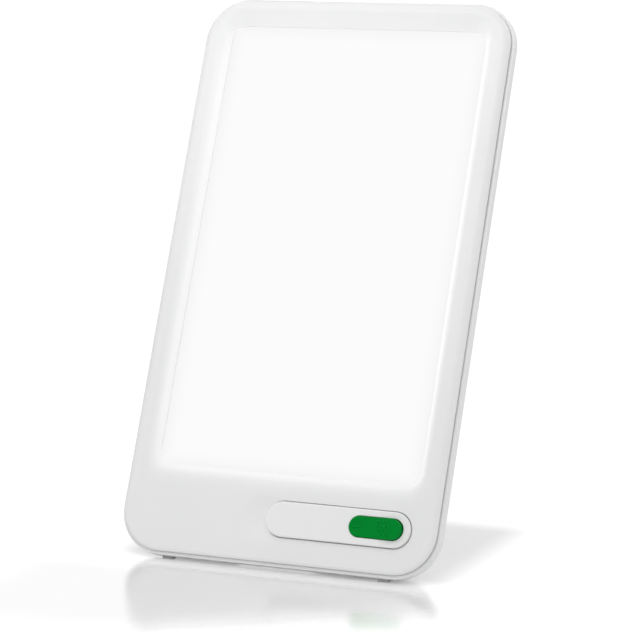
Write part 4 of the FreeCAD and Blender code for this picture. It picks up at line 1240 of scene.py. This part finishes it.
@dataclass
class Rocker:
    """Green rocker with two faces in a shallow V, a finger dish with a bar, and grip dots."""

    outline: Stadium = Stadium(54.1, 22.0, 28.0, 10.5)
    crown: float = -4.9
    pivot: float = -0.8
    foot: float = 0.5
    half_travel: float = 5.0
    edge: float = 0.6
    spans: tuple[int, int] = (40, 60)
    ridge: float = 0.4
    dish: Triple = (-9.4, 4.0, 0.8)
    dish_rings: Triple = (0.98, 1.0, 1.03)
    bar: Triple = (5.6, 0.9, 0.5)
    bar_slope: float = 0.12
    bar_spans: tuple[int, int] = (10, 40)
    bar_rings: tuple[float, ...] = (-0.16, -0.08, 0.0, 0.08, 0.16)
    dots: tuple[float, float, float, float] = (5.0, 0.7, 0.45, 2.25)
    dot_rows: int = 4
    dot_stagger: float = 0.25
    dot_reach: float = 2.05
    dot_rings: tuple[float, ...] = (0.35, 0.65, 0.87, 1.0)
    ring_points: tuple[int, int] = (16, 96)
    net_pitch: float = 0.3
    net_half: float = 6.0
    net_clear: Triple = (0.12, 0.2, 0.24)
    net_edge: Flat = (0.08, 0.05)

    def dot_places(self) -> list[Flat]:
        """Centres of the grip dots.

        Returns:
            Distances from the rocker's middle.
        """
        middle, _, _, pitch = self.dots
        half = (self.dot_rows - 1) / 2
        places: list[Flat] = []
        for j in range(self.dot_rows):
            shift = pitch * (self.dot_stagger if j % 2 else -self.dot_stagger)
            dz = (j - half) * pitch
            for i in range(self.dot_rows):
                dx = (i - half) * pitch + shift
                if math.hypot(dx, dz) < self.dot_reach * pitch:
                    places.append((middle + dx, dz))
        return places

    def bar_outline(self) -> Stadium:
        """Outline of the raised bar."""
        length, width, _ = self.bar
        return Stadium(self.outline.x + self.dish[0], self.outline.z, length, width)

    def depth(self, x: float, z: float) -> float:
        """Depth of the rocker's face before it is tilted.

        Args:
            x: Its place across.
            z: Its height.

        Returns:
            The depth there.
        """
        dx = x - self.outline.x
        dz = z - self.outline.z
        slope = math.tan(math.radians(self.half_travel))
        level = self.crown - slope * (math.hypot(dx, self.ridge) - self.ridge)
        middle, radius, deep = self.dish
        away = math.hypot(dx - middle, dz)
        ball = bend_radius(radius, deep)
        hollow = math.sqrt(ball ** 2 - min(away, radius) ** 2) - (ball - deep)
        bar = self.bar_outline().inset(x, z)
        rise = min(max((bar + self.bar_slope) / (2 * self.bar_slope), 0.0), 1.0)
        rise = rise * rise * (3 - 2 * rise)
        hollow = hollow + (min(hollow, deep - self.bar[2]) - hollow) * rise
        _, dot_radius, dot_height, _ = self.dots
        bump = 0.0
        for cx, cz in self.dot_places():
            off = math.hypot(dx - cx, dz - cz)
            if off < dot_radius:
                bump = dot_height * math.sqrt(1 - (off / dot_radius) ** 2)
        return level + hollow - bump

    def net(self) -> list[Flat]:
        """Points that carry the relief: rings on the dots, the dish and the bar, and a net between.

        Returns:
            Points as (x, z), clear of the rocker's edge.
        """
        x0, z0 = self.outline.x, self.outline.z
        dot_clear, dish_clear, bar_clear = self.net_clear
        dot_radius = self.dots[1]
        points: list[Flat] = []
        taken: list[Triple] = []
        for cx, cz in self.dot_places():
            points.append((x0 + cx, z0 + cz))
            for share in self.dot_rings:
                points.extend(circle(x0 + cx, z0 + cz, dot_radius * share, self.ring_points[0]))
            taken.append((x0 + cx, z0 + cz, dot_radius + dot_clear))
        middle, radius, _ = self.dish
        for share in self.dish_rings:
            points.extend(circle(x0 + middle, z0, radius * share, self.ring_points[1]))
        bar = self.bar_outline()
        for grow in self.bar_rings:
            points.extend(bar.grown(grow).ring(*self.bar_spans))
        inner = self.outline.grown(-self.edge - dish_clear)
        half = self.outline.length / 2
        for x, z in lattice(x0 - half, x0 + half, z0 - self.net_half, z0 + self.net_half, self.net_pitch):
            dish_off = abs(math.hypot(x - x0 - middle, z - z0) - radius)
            clear = all(math.hypot(x - cx, z - cz) > r for cx, cz, r in taken)
            if inner.inset(x, z) > 0 and clear and dish_off > dish_clear and abs(bar.inset(x, z)) > bar_clear:
                points.append((x, z))
        return [p for p in points if self.outline.grown(-self.edge).inset(*p) > self.net_edge[0]]

    def build(self) -> bpy.types.Object:
        """Makes the rocker.

        Returns:
            The piece.
        """
        skin = Skin()
        row = skin.ring(self.outline.ring(*self.spans), self.foot)
        skin.lid(row)
        for angle in arc(6):
            row = skin.bridge(row, skin.ring(
                self.outline.grown(-self.edge * (1 - math.cos(angle))).ring(*self.spans),
                lambda x, z: self.depth(x, z) + self.edge * (1 - math.sin(angle))))
        skin.sheet([row], lambda x, z: self.outline.inset(x, z) > self.edge - self.net_edge[1],
                   self.net(), self.depth)
        skin.turned(-self.half_travel, self.outline.x, self.pivot)
        piece = skin.make("rocker_key", 50.0, False)
        piece.data.materials.append(GREEN.material())
        return piece


@dataclass
class LightPanel:
    """Front of the lamp: frame, diffuser, reflector tray and light board."""

    bezel: FrontFrame = field(default_factory=FrontFrame)

    def build(self) -> None:
        """Makes the frame and dresses what lies behind it."""
        piece = self.bezel.build()
        keep_as(piece, "lamp", "housing_white", "front_frame")
        dress_node("diffuser_panel", OPAL)
        dress_node("reflector_tray", TRAY)
        dress_node("led_board", WHITE_BOARD)
        dress_node("led_emitters", PHOSPHOR)
        dress_node("led_connector", SOCKET)


@dataclass
class SwitchGroup:
    """Plate, rocker and the parts that the rocker works."""

    plate: SwitchPlate = field(default_factory=SwitchPlate)
    rocker: Rocker = field(default_factory=Rocker)

    def build(self) -> None:
        """Makes the plate and the rocker and dresses the works."""
        keep_as(self.plate.build(), "lamp", "plate_white", "switch_plate")
        keep_as(self.rocker.build(), "rocker", "rocker_green", "rocker")
        for node, finish in (("switch_body", BLACK), ("rocker_pin", ZINC), ("plunger", ZINC),
                             ("plunger_spring", ZINC), ("contact_lever", BRASS),
                             ("switch_terminals", BRASS), ("switch_leads", RED_LEAD)):
            dress_node(node, finish)


@dataclass
class CaseScrews:
    """Case screws: pan heads with a cross recess, on plain shanks.

    The tip, the shank and the brim are a radius and a depth, the crown is its flat's radius, its edge's
    radius and its rise, and the recess is half a slot's length and width, with the corners' radius and
    the depth of its foot and its mouth as its rows.
    """

    places: tuple[Flat, ...] = ((-46.0, 4.6), (46.0, 4.6))
    seat: float = 6.0
    tip: Flat = (0.6, -0.2)
    shank: Flat = (1.3, 0.8)
    under: float = 2.6
    brim: Flat = (2.7, 0.1)
    crown: Triple = (1.9, 0.8, 0.7)
    recess: Flat = (1.7, 0.35)
    recess_taper: float = 0.6
    recess_rows: tuple[Flat, ...] = ((0.1, 0.5), (0.15, 2.0))

    def outline_rows(self, x: float, z: float) -> list[tuple[RoundedRect, float]]:
        """Outlines and depths of one screw, from its tip to the top of its head.

        Args:
            x: Its place across.
            z: Its height.

        Returns:
            The outlines and their depths.
        """
        rows = [(disc(x, z, self.tip[0]), self.tip[1]), (disc(x, z, self.shank[0]), self.shank[1]),
                (disc(x, z, self.shank[0]), self.seat), (disc(x, z, self.under), self.seat),
                (disc(x, z, self.brim[0]), self.seat + self.brim[1])]
        flat, edge, rise = self.crown
        for angle in arc(6):
            rows.append((disc(x, z, flat + edge * math.cos(angle)),
                         self.seat + rise + edge * math.sin(angle)))
        return rows

    def build(self) -> None:
        """Makes the screws."""
        body = Skin()
        slots = [Skin(), Skin()]
        (foot_corner, low), (head_corner, top) = self.recess_rows
        taper = self.recess_taper
        for x, z in self.places:
            body.plug(self.outline_rows(x, z), 10)
            for slot, wide, high in zip(slots, self.recess, self.recess[::-1]):
                foot = RoundedRect(x - wide * taper, x + wide * taper, z - high * taper, z + high * taper,
                                   foot_corner)
                mouth = RoundedRect(x - wide, x + wide, z - high, z + high, head_corner)
                slot.plug([(foot, self.seat + low), (mouth, self.seat + top)], 3)
        heads = body.make("cross_head_screws", even=False)
        carve(heads, [(slot, Cut.AWAY) for slot in slots])
        heads.data.materials.append(ZINC.material())
        keep_as(heads, "lamp", "zinc_steel", "case_screws")


@dataclass
class BackShell:
    """Rear cover with its air slots, leg recess and screw wells, the screws in them and the feet."""

    rim: RoundedRect = RoundedRect(-86.7, 86.7, -1.7, 298.2, 23.3)
    rim_front: float = 0.6
    rim_back: float = 7.7
    rim_round: float = 3.0
    rim_edge: float = 0.25
    hump: RoundedRect = RoundedRect(-77.7, 77.7, 7.3, 289.2, 14.3)
    back: float = 26.0
    draft: float = 4.0
    back_round: float = 4.7
    root_round: float = 0.8
    wall: float = 2.2
    groove: Flat = (1.5, 0.45)
    rim_rows: tuple[Flat, ...] = ((1.0, 0.0), (0.3, 0.3), (0.0, 1.0))
    recess: RoundedRect = RoundedRect(-31.0, 31.0, -21.6, 172.0, 3.0)
    recess_rows: tuple[Flat, ...] = ((-0.6, 0.0), (-0.2, 0.2), (0.0, 0.6))
    recess_floor: float = 19.0
    recess_wall: float = 2.0
    trough_feet: Flat = (10.4, 12.6)
    trough_corner: float = 3.0
    chamfer: float = 0.3
    fine_cut: float = 0.2
    slot: Flat = (1.1, 24.0)
    slot_corner: float = 0.5
    slots: tuple[tuple[float, float, int, float], ...] = (
        (-44.0, 228.0, 12, 8.0), (38.0, 84.0, 3, 5.0), (-48.0, 84.0, 3, 5.0))
    inlet: Triple = (-46.0, 24.0, 4.1)
    screws: CaseScrews = field(default_factory=CaseScrews)
    well: float = 3.0
    hole: Flat = (1.7, 3.0)
    pin: Triple = (22.7, 165.0, 1.55)
    boss: Flat = (3.1, 5.0)
    pad: Flat = (3.6, 4.7)
    post: tuple[float, float, float, float] = (-12.2, 16.2, 2.6, 14.1)
    pilot: Flat = (1.15, 2.4)
    rib: tuple[float, float, float, float, float] = (52.0, 1.2, 15.1, 51.7, 276.8)
    cross_ribs: Flat = (180.0, 268.8)
    cross_set_back: float = 0.1
    foot_sockets: Flat = (-59.0, 59.0)
    foot_box: tuple[float, float, float, float] = (2.75, -0.65, 3.55, 7.95)
    foot_drop: float = -8.0
    buried: float = 1.0
    sunk: float = 0.7
    spare: float = 0.5
    past: float = 0.2
    spans: tuple[int, int, int] = (6, 8, 24)

    def outer_rows(self) -> list[tuple[RoundedRect, float]]:
        """Outlines and depths of the outer form, from the seam to the back.

        Returns:
            The outlines and their depths.
        """
        edge = self.rim_edge
        rows = [(self.rim.grown(-edge * by), self.rim_front + edge * back) for by, back in self.rim_rows]
        for angle in arc(10):
            rows.append((self.rim.grown(-self.rim_round * (1 - math.cos(angle))),
                         self.rim_back - self.rim_round * (1 - math.sin(angle))))
        tilt = math.atan2(self.draft, self.back - self.rim_back)
        root = self.root_round
        for angle in arc(4, 0.0, QUARTER - tilt):
            rows.append((self.hump.grown(root * (1 - math.sin(angle))),
                         self.rim_back + root * (1 - math.cos(angle))))
        reach = self.back_round * math.tan((QUARTER - tilt) / 2)
        for angle in arc(10, tilt):
            rows.append((self.hump.grown(-(self.draft + reach - self.back_round * math.cos(angle))),
                         self.back - self.back_round * (1 - math.sin(angle))))
        return rows

    def rear(self) -> float:
        """Depth to which the trough and the ribs reach into the back wall."""
        return self.back - self.wall + self.sunk

    def cavity(self) -> Skin:
        """The hollow inside the walls, wider at the seam, where it leaves a groove round the frame.

        Returns:
            The body, which is cut away.
        """
        skin = Skin()
        slab = self.rim.grown(-self.wall)
        inner = self.hump.grown(-self.wall)
        lip = self.rim.grown(-self.groove[0])
        bed = self.rim_front + self.groove[1]
        shoulder = self.rim_back - self.wall
        skin.loft([(lip, self.rim_front - self.buried), (lip, bed), (slab, bed), (slab, shoulder),
                   (inner, shoulder), (inner.grown(-self.draft), self.back - self.wall)])
        return skin

    def trough(self) -> Skin:
        """The walls round the leg's recess, standing in the shell's foot wall.

        Returns:
            The body, which is joined on as a solid and hollowed by the openings.
        """
        skin = Skin()
        half = self.recess.right + self.recess_wall
        head = self.recess.head + self.recess_wall
        front, rear = (RoundedRect(-half, half, foot, head, self.trough_corner) for foot in self.trough_feet)
        skin.loft([(front, self.recess_floor - self.recess_wall), (rear, self.rear())], *self.spans)
        return skin

    def fittings(self) -> tuple[Skin, Skin]:
        """What stands inside the shell.

        Returns:
            The hinge bosses, screw pads, board post and side ribs; and the cross ribs.
        """
        fixed, cross = Skin(), Skin()
        depth, height, _ = self.pin
        radius, length = self.boss
        half = self.recess.right + self.recess_wall
        fixed.rod(depth, height, radius, half - self.buried, half + length)
        fixed.rod(depth, height, radius, -half - length, self.buried - half)
        for x, z in self.screws.places:
            fixed.prism(disc(x, z, self.pad[0]), self.pad[1], self.screws.seat, 10)
        x, z, radius, front = self.post
        fixed.prism(disc(x, z, radius), front, self.recess_floor - self.buried, 10)
        x, wide, front, foot, head = self.rib
        for side in (-x, x):
            fixed.block((side - wide / 2, side + wide / 2), (front, self.rear()), (foot, head))
        for z in self.cross_ribs:
            cross.block((-x, x), (front + self.cross_set_back, self.rear()), (z - wide / 2, z + wide / 2))
        return fixed, cross

    def mouth(self, outline: RoundedRect, face: float, cut: float) -> list[tuple[RoundedRect, float]]:
        """The last rows of an opening, whose mouth is broken where it comes out at a face.

        Args:
            outline: The opening's outline.
            face: The depth of the face.
            cut: Width of the mouth's broken edge.

        Returns:
            The outlines and their depths.
        """
        return [(outline, face - cut), (outline.grown(cut + self.past), face + self.past)]

    def openings(self) -> Skin:
        """The leg's recess, the air slots, the inlet's hole and the screw wells.

        Returns:
            The body, which is cut away.
        """
        skin = Skin()
        inside = self.back - self.wall - self.buried
        rows = [(self.recess.grown(by) if by else self.recess, self.recess_floor + up)
                for by, up in self.recess_rows]
        skin.loft([*rows, *self.mouth(self.recess, self.back, self.chamfer)], *self.spans)
        half, tall = self.slot
        for x0, z, count, pitch in self.slots:
            for i in range(count):
                x = x0 + i * pitch
                slot = RoundedRect(x - half, x + half, z, z + tall, self.slot_corner)
                skin.plug([(slot, inside), *self.mouth(slot, self.back, self.fine_cut)], 3)
        inlet = disc(*self.inlet)
        skin.plug([(inlet, inside), *self.mouth(inlet, self.back, self.chamfer)], 12)
        for x, z in self.screws.places:
            well = disc(x, z, self.well)
            skin.plug([(well, self.screws.seat), *self.mouth(well, self.rim_back, self.fine_cut)], 10)
        return skin

    def holes(self) -> Skin:
        """The screws' holes and the sockets of the feet.

        Returns:
            The body, which is cut away.
        """
        skin = Skin()
        radius, start = self.hole
        for x, z in self.screws.places:
            skin.prism(disc(x, z, radius), start, self.screws.seat + self.spare, 8)
        half, top, front, rear = self.foot_box
        for x in self.foot_sockets:
            skin.prism(RoundedRect(x - half, x + half, self.foot_drop, top, LEAST_CORNER), front, rear, 3)
        return skin

    def bores(self) -> Skin:
        """The bores for the hinge pin and the board screw.

        Returns:
            The body, which is cut away.
        """
        skin = Skin()
        depth, height, radius = self.pin
        end = self.recess.right + self.recess_wall + self.boss[1] + self.spare
        skin.rod(depth, height, radius, -end, end)
        x, z, _, front = self.post
        radius, deep = self.pilot
        skin.prism(disc(x, z, radius), front - self.spare, front + deep, 8)
        return skin

    def bodies(self) -> list[tuple[Skin, Cut]]:
        """What is cut from the solid form and what is joined to it.

        Returns:
            The bodies and what each does, in turn.
        """
        fixed, cross = self.fittings()
        return [(self.cavity(), Cut.AWAY), (self.trough(), Cut.JOIN), (fixed, Cut.JOIN), (cross, Cut.JOIN),
                (self.openings(), Cut.AWAY), (self.holes(), Cut.AWAY), (self.bores(), Cut.AWAY)]

    def build(self) -> None:
        """Makes the cover and the screws, and dresses the feet."""
        solid = Skin()
        solid.loft(self.outer_rows())
        shell = solid.make("back_shell", even=False)
        carve(shell, self.bodies())
        shell.data.materials.append(COVER.material())
        keep_as(shell, "lamp", "housing_white", "rear_cover")
        self.screws.build()
        dress_node("front_feet", RUBBER, 0.3)


@dataclass
class Stand:
    """Fold-out leg with its pad and hinge pin."""

    def build(self) -> None:
        """Dresses the leg, the pad and the pin."""
        dress_node("stand_leg", COVER, 0.3)
        dress_node("stand_foot_pad", RUBBER, 0.4)
        dress_node("stand_hinge_pin", ZINC)


@dataclass
class Electronics:
    """Driver board and inlet inside the cover."""

    def build(self) -> None:
        """Dresses the board, its parts and the inlet."""
        for node, finish in (("driver_board", GREEN_BOARD), ("board_screw", ZINC), ("driver_coil", FERRITE),
                             ("driver_capacitor", CAN), ("driver_chip", CHIP),
                             ("driver_connectors", SOCKET), ("led_leads", RED_LEAD),
                             ("dc_jack", BLACK), ("dc_jack_pin", BRASS)):
            dress_node(node, finish)


def keep_as(piece: bpy.types.Object, body: str, slot: str, *nodes: str) -> None:
    """Sets a piece on its body and lets it stand for nodes.

    Args:
        piece: The piece.
        body: The body that it rides on.
        slot: The record's material slot; not used.
        nodes: The nodes that it stands for.
    """
    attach(piece, body)
    if nodes:
        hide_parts(*nodes)
    log.info("piece %s made, %d faces", piece.name, len(piece.data.polygons))


# ------------------------------------------------------------------ studio
@dataclass
class Studio:
    """Camera, floor, sky and lamps."""

    azimuth: float = 23.01
    elevation: float = 9.45
    distance: float = 1401.56
    aside: float = 1.0
    above: float = -21.75
    focal_pixels: float = 2743.9
    frame_pixels: float = 640.0
    panel_middle: float = 148.25
    sky: float = 0.7
    sensor: float = 36.0
    clip: Flat = (0.05, 50.0)
    floor_half: float = 8.0
    mirror_slant: float = 38.0
    mirror_rise: Flat = (0.063, 0.1)
    mirror_fall: Flat = (0.108, 0.215)
    mirror_sides: Flat = (0.1, 0.2)
    mirror_end: Flat = (0.17, 0.3)
    mirror_foot: float = 0.45
    floor_lift: float = 0.45
    under: tuple[float, float, float, float] = (0.075, 0.1, 0.05, 0.075)
    matt: Colour = (0.9, 0.9, 0.9)
    polish: Colour = (0.97, 0.97, 0.97)
    polish_rough: float = 0.2
    lamp_middle: float = 0.14
    lamps: tuple[tuple[str, Triple, float, float], ...] = (
        ("soft_key", (-0.05, -0.22, 0.5), 0.3, 0.54), ("soft_side", (0.8, 0.5, 0.6), 0.8, 1.65),
        ("soft_fill", (-0.5, -0.35, 0.3), 0.3, 0.1))
    glow_size: Flat = (0.14, 0.236)
    glow_place: Triple = (0.0, 1.2, 164.25)
    glow_power: float = 0.15

    def camera(self) -> None:
        """Sets the camera where the lamp is seen from the right, a little above the table."""
        a, e = math.radians(self.azimuth), math.radians(self.elevation)
        back = Vector((math.sin(a) * math.cos(e), -math.cos(a) * math.cos(e), math.sin(e)))
        right = Vector((math.cos(a), math.sin(a), 0.0))
        up = right.cross(-back)
        centre = Lean().matrix() @ Vector((0, 0, self.panel_middle))
        data = bpy.data.cameras.new("camera")
        data.sensor_width = self.sensor
        data.lens = self.focal_pixels * data.sensor_width / self.frame_pixels
        data.clip_start, data.clip_end = self.clip
        eye = put("camera", data)
        eye.location = centre + (back * self.distance + right * self.aside + up * self.above) * MILLIMETRE
        eye.rotation_mode = "QUATERNION"
        eye.rotation_quaternion = (-back).to_track_quat("-Z", "Y")
        bpy.context.scene.camera = eye

    def floor(self) -> None:
        """Lays the table top."""
        size = self.floor_half
        mesh = bpy.data.meshes.new("table_top")
        mesh.from_pydata([(-size, -size, 0), (size, -size, 0), (size, size, 0), (-size, size, 0)], [],
                         [(0, 1, 2, 3)])
        top = put("table_top", mesh)
        mesh.materials.append(self.table_finish())
        log.info("table top made")

    def table_finish(self) -> bpy.types.Material:
        """Pale matt table top with a polished patch in front of the lamp, which mirrors its foot.

        The patch, and the light that the open floor gives of itself, are there for the camera alone.
        Under the lamp the floor gives none, so that the lamp's shadow stays.

        Returns:
            The material.
        """
        made = bpy.data.materials.new("table_pale")
        nodes = cleared(made)
        place = nodes.where()
        slant = math.radians(self.mirror_slant)
        ahead = nodes.dot(place, (math.sin(slant), -math.cos(slant), 0.0))
        front = nodes.dot(place, (0, -1, 0))
        rise = nodes.span(front, *self.mirror_rise, self.mirror_foot, 1.0)
        near = nodes.times(rise, nodes.span(ahead, *self.mirror_fall, 1.0, 0.0))
        spot = nodes.add("SeparateXYZ", {0: place}).outputs
        aside = nodes.maths("ABSOLUTE", spot[0])
        bound = nodes.times(nodes.span(aside, *self.mirror_sides, 1.0, 0.0),
                            nodes.span(front, *self.mirror_end, 1.0, 0.0))
        near = nodes.times(near, bound)
        seen = nodes.add("LightPath").outputs["Is Camera Ray"]
        share = nodes.times(near, seen)
        across = nodes.span(aside, *self.under[:2], 1.0, 0.0)
        along = nodes.span(nodes.maths("ABSOLUTE", spot[1]), *self.under[2:], 1.0, 0.0)
        under = nodes.times(across, along)
        open_air = nodes.times(nodes.maths("SUBTRACT", 1.0, under), self.floor_lift)
        matt = nodes.add("BsdfDiffuse", {"Color": (*self.matt, 1)}).outputs[0]
        lift = nodes.add("Emission", {"Color": (1, 1, 1, 1), "Strength": nodes.times(seen, open_air)})
        pale = nodes.add("AddShader", {0: matt, 1: lift.outputs[0]}).outputs[0]
        polish = nodes.add("BsdfGlossy", {"Color": (*self.polish, 1), "Roughness": self.polish_rough},
                           distribution="BECKMANN").outputs[0]
        mixed = nodes.add("MixShader", {0: share, 1: pale, 2: polish}).outputs[0]
        nodes.add("OutputMaterial", {0: mixed})
        return made

    def sky_light(self) -> None:
        """Even sky: white to the camera and in reflections, softer as light."""
        world = bpy.data.worlds.new("studio_sky")
        bpy.context.scene.world = world
        nodes = cleared(world)
        path = nodes.add("LightPath").outputs
        seen = nodes.maths("MAXIMUM", path["Is Camera Ray"],
                           nodes.maths("MAXIMUM", path["Is Glossy Ray"], path["Is Transmission Ray"]))
        level = nodes.plus(self.sky, nodes.times(seen, 1.0 - self.sky))
        sky = nodes.add("Background", {"Color": (1, 1, 1, 1), "Strength": level}).outputs[0]
        nodes.add("OutputWorld", {0: sky})

    def hang(self, name: str, place: Triple, size: float, power: float) -> None:
        """Hangs a soft square light that points at the lamp's middle.

        Args:
            name: The light's name.
            place: Where it hangs, in metres.
            size: Its side in metres.
            power: Its power in watts.
        """
        data = bpy.data.lights.new(name, "AREA")
        data.size = size
        data.energy = power
        hung = put(name, data)
        hung.location = place
        toward = Vector((0, 0, self.lamp_middle)) - Vector(place)
        hung.rotation_euler = toward.to_track_quat("-Z", "Y").to_euler()

    def panel_glow(self) -> None:
        """A light that stands for the lit panel, so that the slopes of its window catch the light."""
        data = bpy.data.lights.new("panel_glow", "AREA")
        data.shape = "RECTANGLE"
        data.size, data.size_y = self.glow_size
        data.energy = self.glow_power
        hung = put("panel_glow", data)
        lean = Lean().matrix()
        hung.location = lean @ Vector(self.glow_place)
        ahead = (lean.to_3x3() @ Vector((0, -1, 0))).normalized()
        hung.rotation_euler = ahead.to_track_quat("-Z", "Y").to_euler()
        hung.visible_camera = False
        hung.visible_glossy = False

    def build(self) -> None:
        """Sets up everything round the lamp."""
        self.camera()
        self.floor()
        self.sky_light()
        for name, place, size, power in self.lamps:
            self.hang(name, place, size, power)
        self.panel_glow()
        bpy.context.scene.view_settings.view_transform = "Standard"


def main() -> None:
    """Builds the studio and every sub-assembly in order."""
    logging.basicConfig(level=logging.INFO, format="%(message)s")
    Studio().build()
    for part in (LightPanel(), SwitchGroup(), BackShell(), Stand(), Electronics()):
        log.info("building %s", type(part).__name__)
        part.build()


if __name__ == "__main__":
    main()
